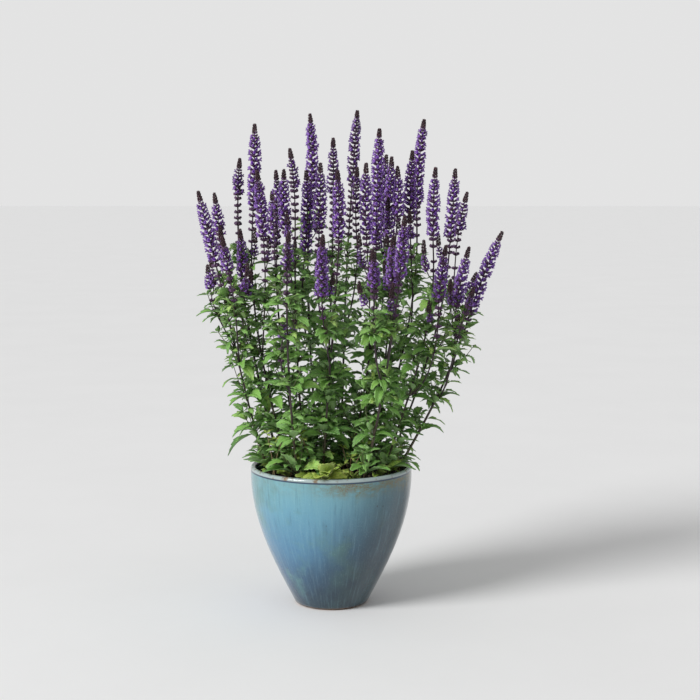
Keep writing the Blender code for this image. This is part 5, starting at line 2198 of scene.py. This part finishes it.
    def build(self, plan: list[list[Shoot]], crowd: Crowd) -> None:
        """One piece for each spike, numbered as they grow on the stems."""
        finishes = [finish.material() for finish in (STEM_SKIN, CALYX, PETAL, BUD)]
        shoots = [shoot for stem in plan for shoot in stem]
        for number, shoot in enumerate(shoots, start=1):
            draw = random.Random(self.seed + number)
            rng = np.random.default_rng(self.seed + number)
            habit = self.habit(number, draw)
            mesh = PieceMesh()
            shares = np.linspace(0.0, self.axis_end, self.axis_rings)
            radii = (shoot.radius(1.0), self.axis_top)
            self.stems.stalk(mesh, shoot.crest, radii, shares, self.axis_tone, sunk=self.axis_sunk)
            self.spike(mesh, shoot.crest, habit, draw, rng)
            reach = shoot.curve.length()
            for row, drop in enumerate(self.below_foot):
                straggler = Whorl(reach - drop, FloretStage.SPENT, self.below_foot_size)
                self.whorl(mesh, shoot.curve, reach, straggler, row, habit, rng)
            side = self.side_line(shoot, crowd, draw)
            if side and habit is not Habit.FADING:
                shares = np.linspace(0.0, self.axis_end, self.side_rings)
                self.stems.stalk(mesh, side, self.side_radii, shares, self.axis_tone)
                self.spike(mesh, side, habit, draw, rng, self.side_stalk, self.side_size)
            piece = mesh.make(f"bloom_{number:02d}", finishes)
            settle(piece, "flower_spike", f"flower_spike_{number:02d}")


@dataclass(frozen=True)
class Studio:
    """The floor, the soft lights and the camera."""

    aim_down: float = 6.5
    lens: float = 76.9
    sensor: float = 36.0
    floor_size: float = 80.0
    backdrop: float = 0.77
    ambient: float = 0.48
    sun_from: tuple = (-1.9, -1.4, 1.9)
    sun_power: float = 2.40
    sun_spread: float = 24.0
    glow: tuple = ((-2.1, -1.5, 1.1), (1.1, 1.5), 9.0)
    aim: tuple = (0.0, 0.0, 0.45)

    def floor(self) -> None:
        """A plain pale floor."""
        mesh = bpy.data.meshes.new("floor")
        half = self.floor_size / 2
        corners = [(-half, -half, 0.0), (half, -half, 0.0), (half, half, 0.0), (-half, half, 0.0)]
        mesh.from_pydata(corners, [], [(0, 1, 2, 3)])
        mesh.materials.append(PaleFloor().material())
        made = bpy.data.objects.new("floor", mesh)
        bpy.context.scene.collection.objects.link(made)

    def lamp(self, name: str, kind: str, place: tuple, power: float) -> bpy.types.Object:
        """A lamp that looks at the plant.

        Args:
            name: The lamp's name.
            kind: Blender's name for this kind of lamp.
            place: Where it stands.
            power: Its strength in Blender's unit for the kind.

        Returns:
            The lamp, linked to the scene.
        """
        lamp = bpy.data.lights.new(name, kind)
        lamp.energy = power
        made = bpy.data.objects.new(name, lamp)
        made.location = place
        made.rotation_euler = (Vector(self.aim) - Vector(place)).to_track_quat("-Z", "Y").to_euler()
        bpy.context.scene.collection.objects.link(made)
        return made

    def lights(self) -> None:
        """A wide soft sun from the upper left, and a tall soft panel that shows as a glow in the glaze."""
        sun = self.lamp("soft_sun", "SUN", self.sun_from, self.sun_power)
        sun.data.angle = math.radians(self.sun_spread)
        place, (width, height), power = self.glow
        panel = self.lamp("soft_panel", "AREA", place, power)
        panel.data.shape = "RECTANGLE"
        panel.data.size, panel.data.size_y = width, height

    def sky(self) -> None:
        """A white surround, which lights the plant less than it shows."""
        world = bpy.data.worlds.new("studio_sky")
        world.use_nodes = True
        graph = Graph(world.node_tree)
        graph.tree.nodes.clear()
        shown = graph.add("LightPath").outputs["Is Camera Ray"]
        strength = graph.sum("MULTIPLY_ADD", shown, self.backdrop - self.ambient, self.ambient)
        background = graph.add("Background", {"Color": rgba((1.0, 1.0, 1.0)), "Strength": strength})
        graph.add("OutputWorld", {"Surface": background.outputs[0]})
        bpy.context.scene.world = world

    def camera(self) -> None:
        """The camera at the place that the plant was looked at from."""
        camera = bpy.data.cameras.new("camera")
        camera.sensor_width = self.sensor
        camera.lens = self.lens
        made = bpy.data.objects.new("camera", camera)
        made.location = EYE
        made.rotation_euler = (math.radians(90.0 - self.aim_down), 0.0, 0.0)
        bpy.context.scene.collection.objects.link(made)
        bpy.context.scene.camera = made

    def build(self) -> None:
        """Floor, sky, lights and camera."""
        bpy.context.scene.view_settings.view_transform = "Standard"
        self.floor()
        self.sky()
        self.lights()
        self.camera()


def note_sizes() -> None:
    """Brings the view layer up to date."""
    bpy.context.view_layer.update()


def main() -> None:
    """Builds the pot, the compost, the plant and the studio in order."""
    logging.basicConfig(level=logging.INFO, format="%(message)s")
    plan, crowd = Planting().grow()
    Studio().build()
    GlazedPot().build()
    CompostBed().build()
    Stems().build(plan)
    YoungGrowth().build(crowd)
    FlowerSpikes().build(plan, crowd)
    Foliage().build(plan, crowd)
    note_sizes()


if __name__ == "__main__":
    main()
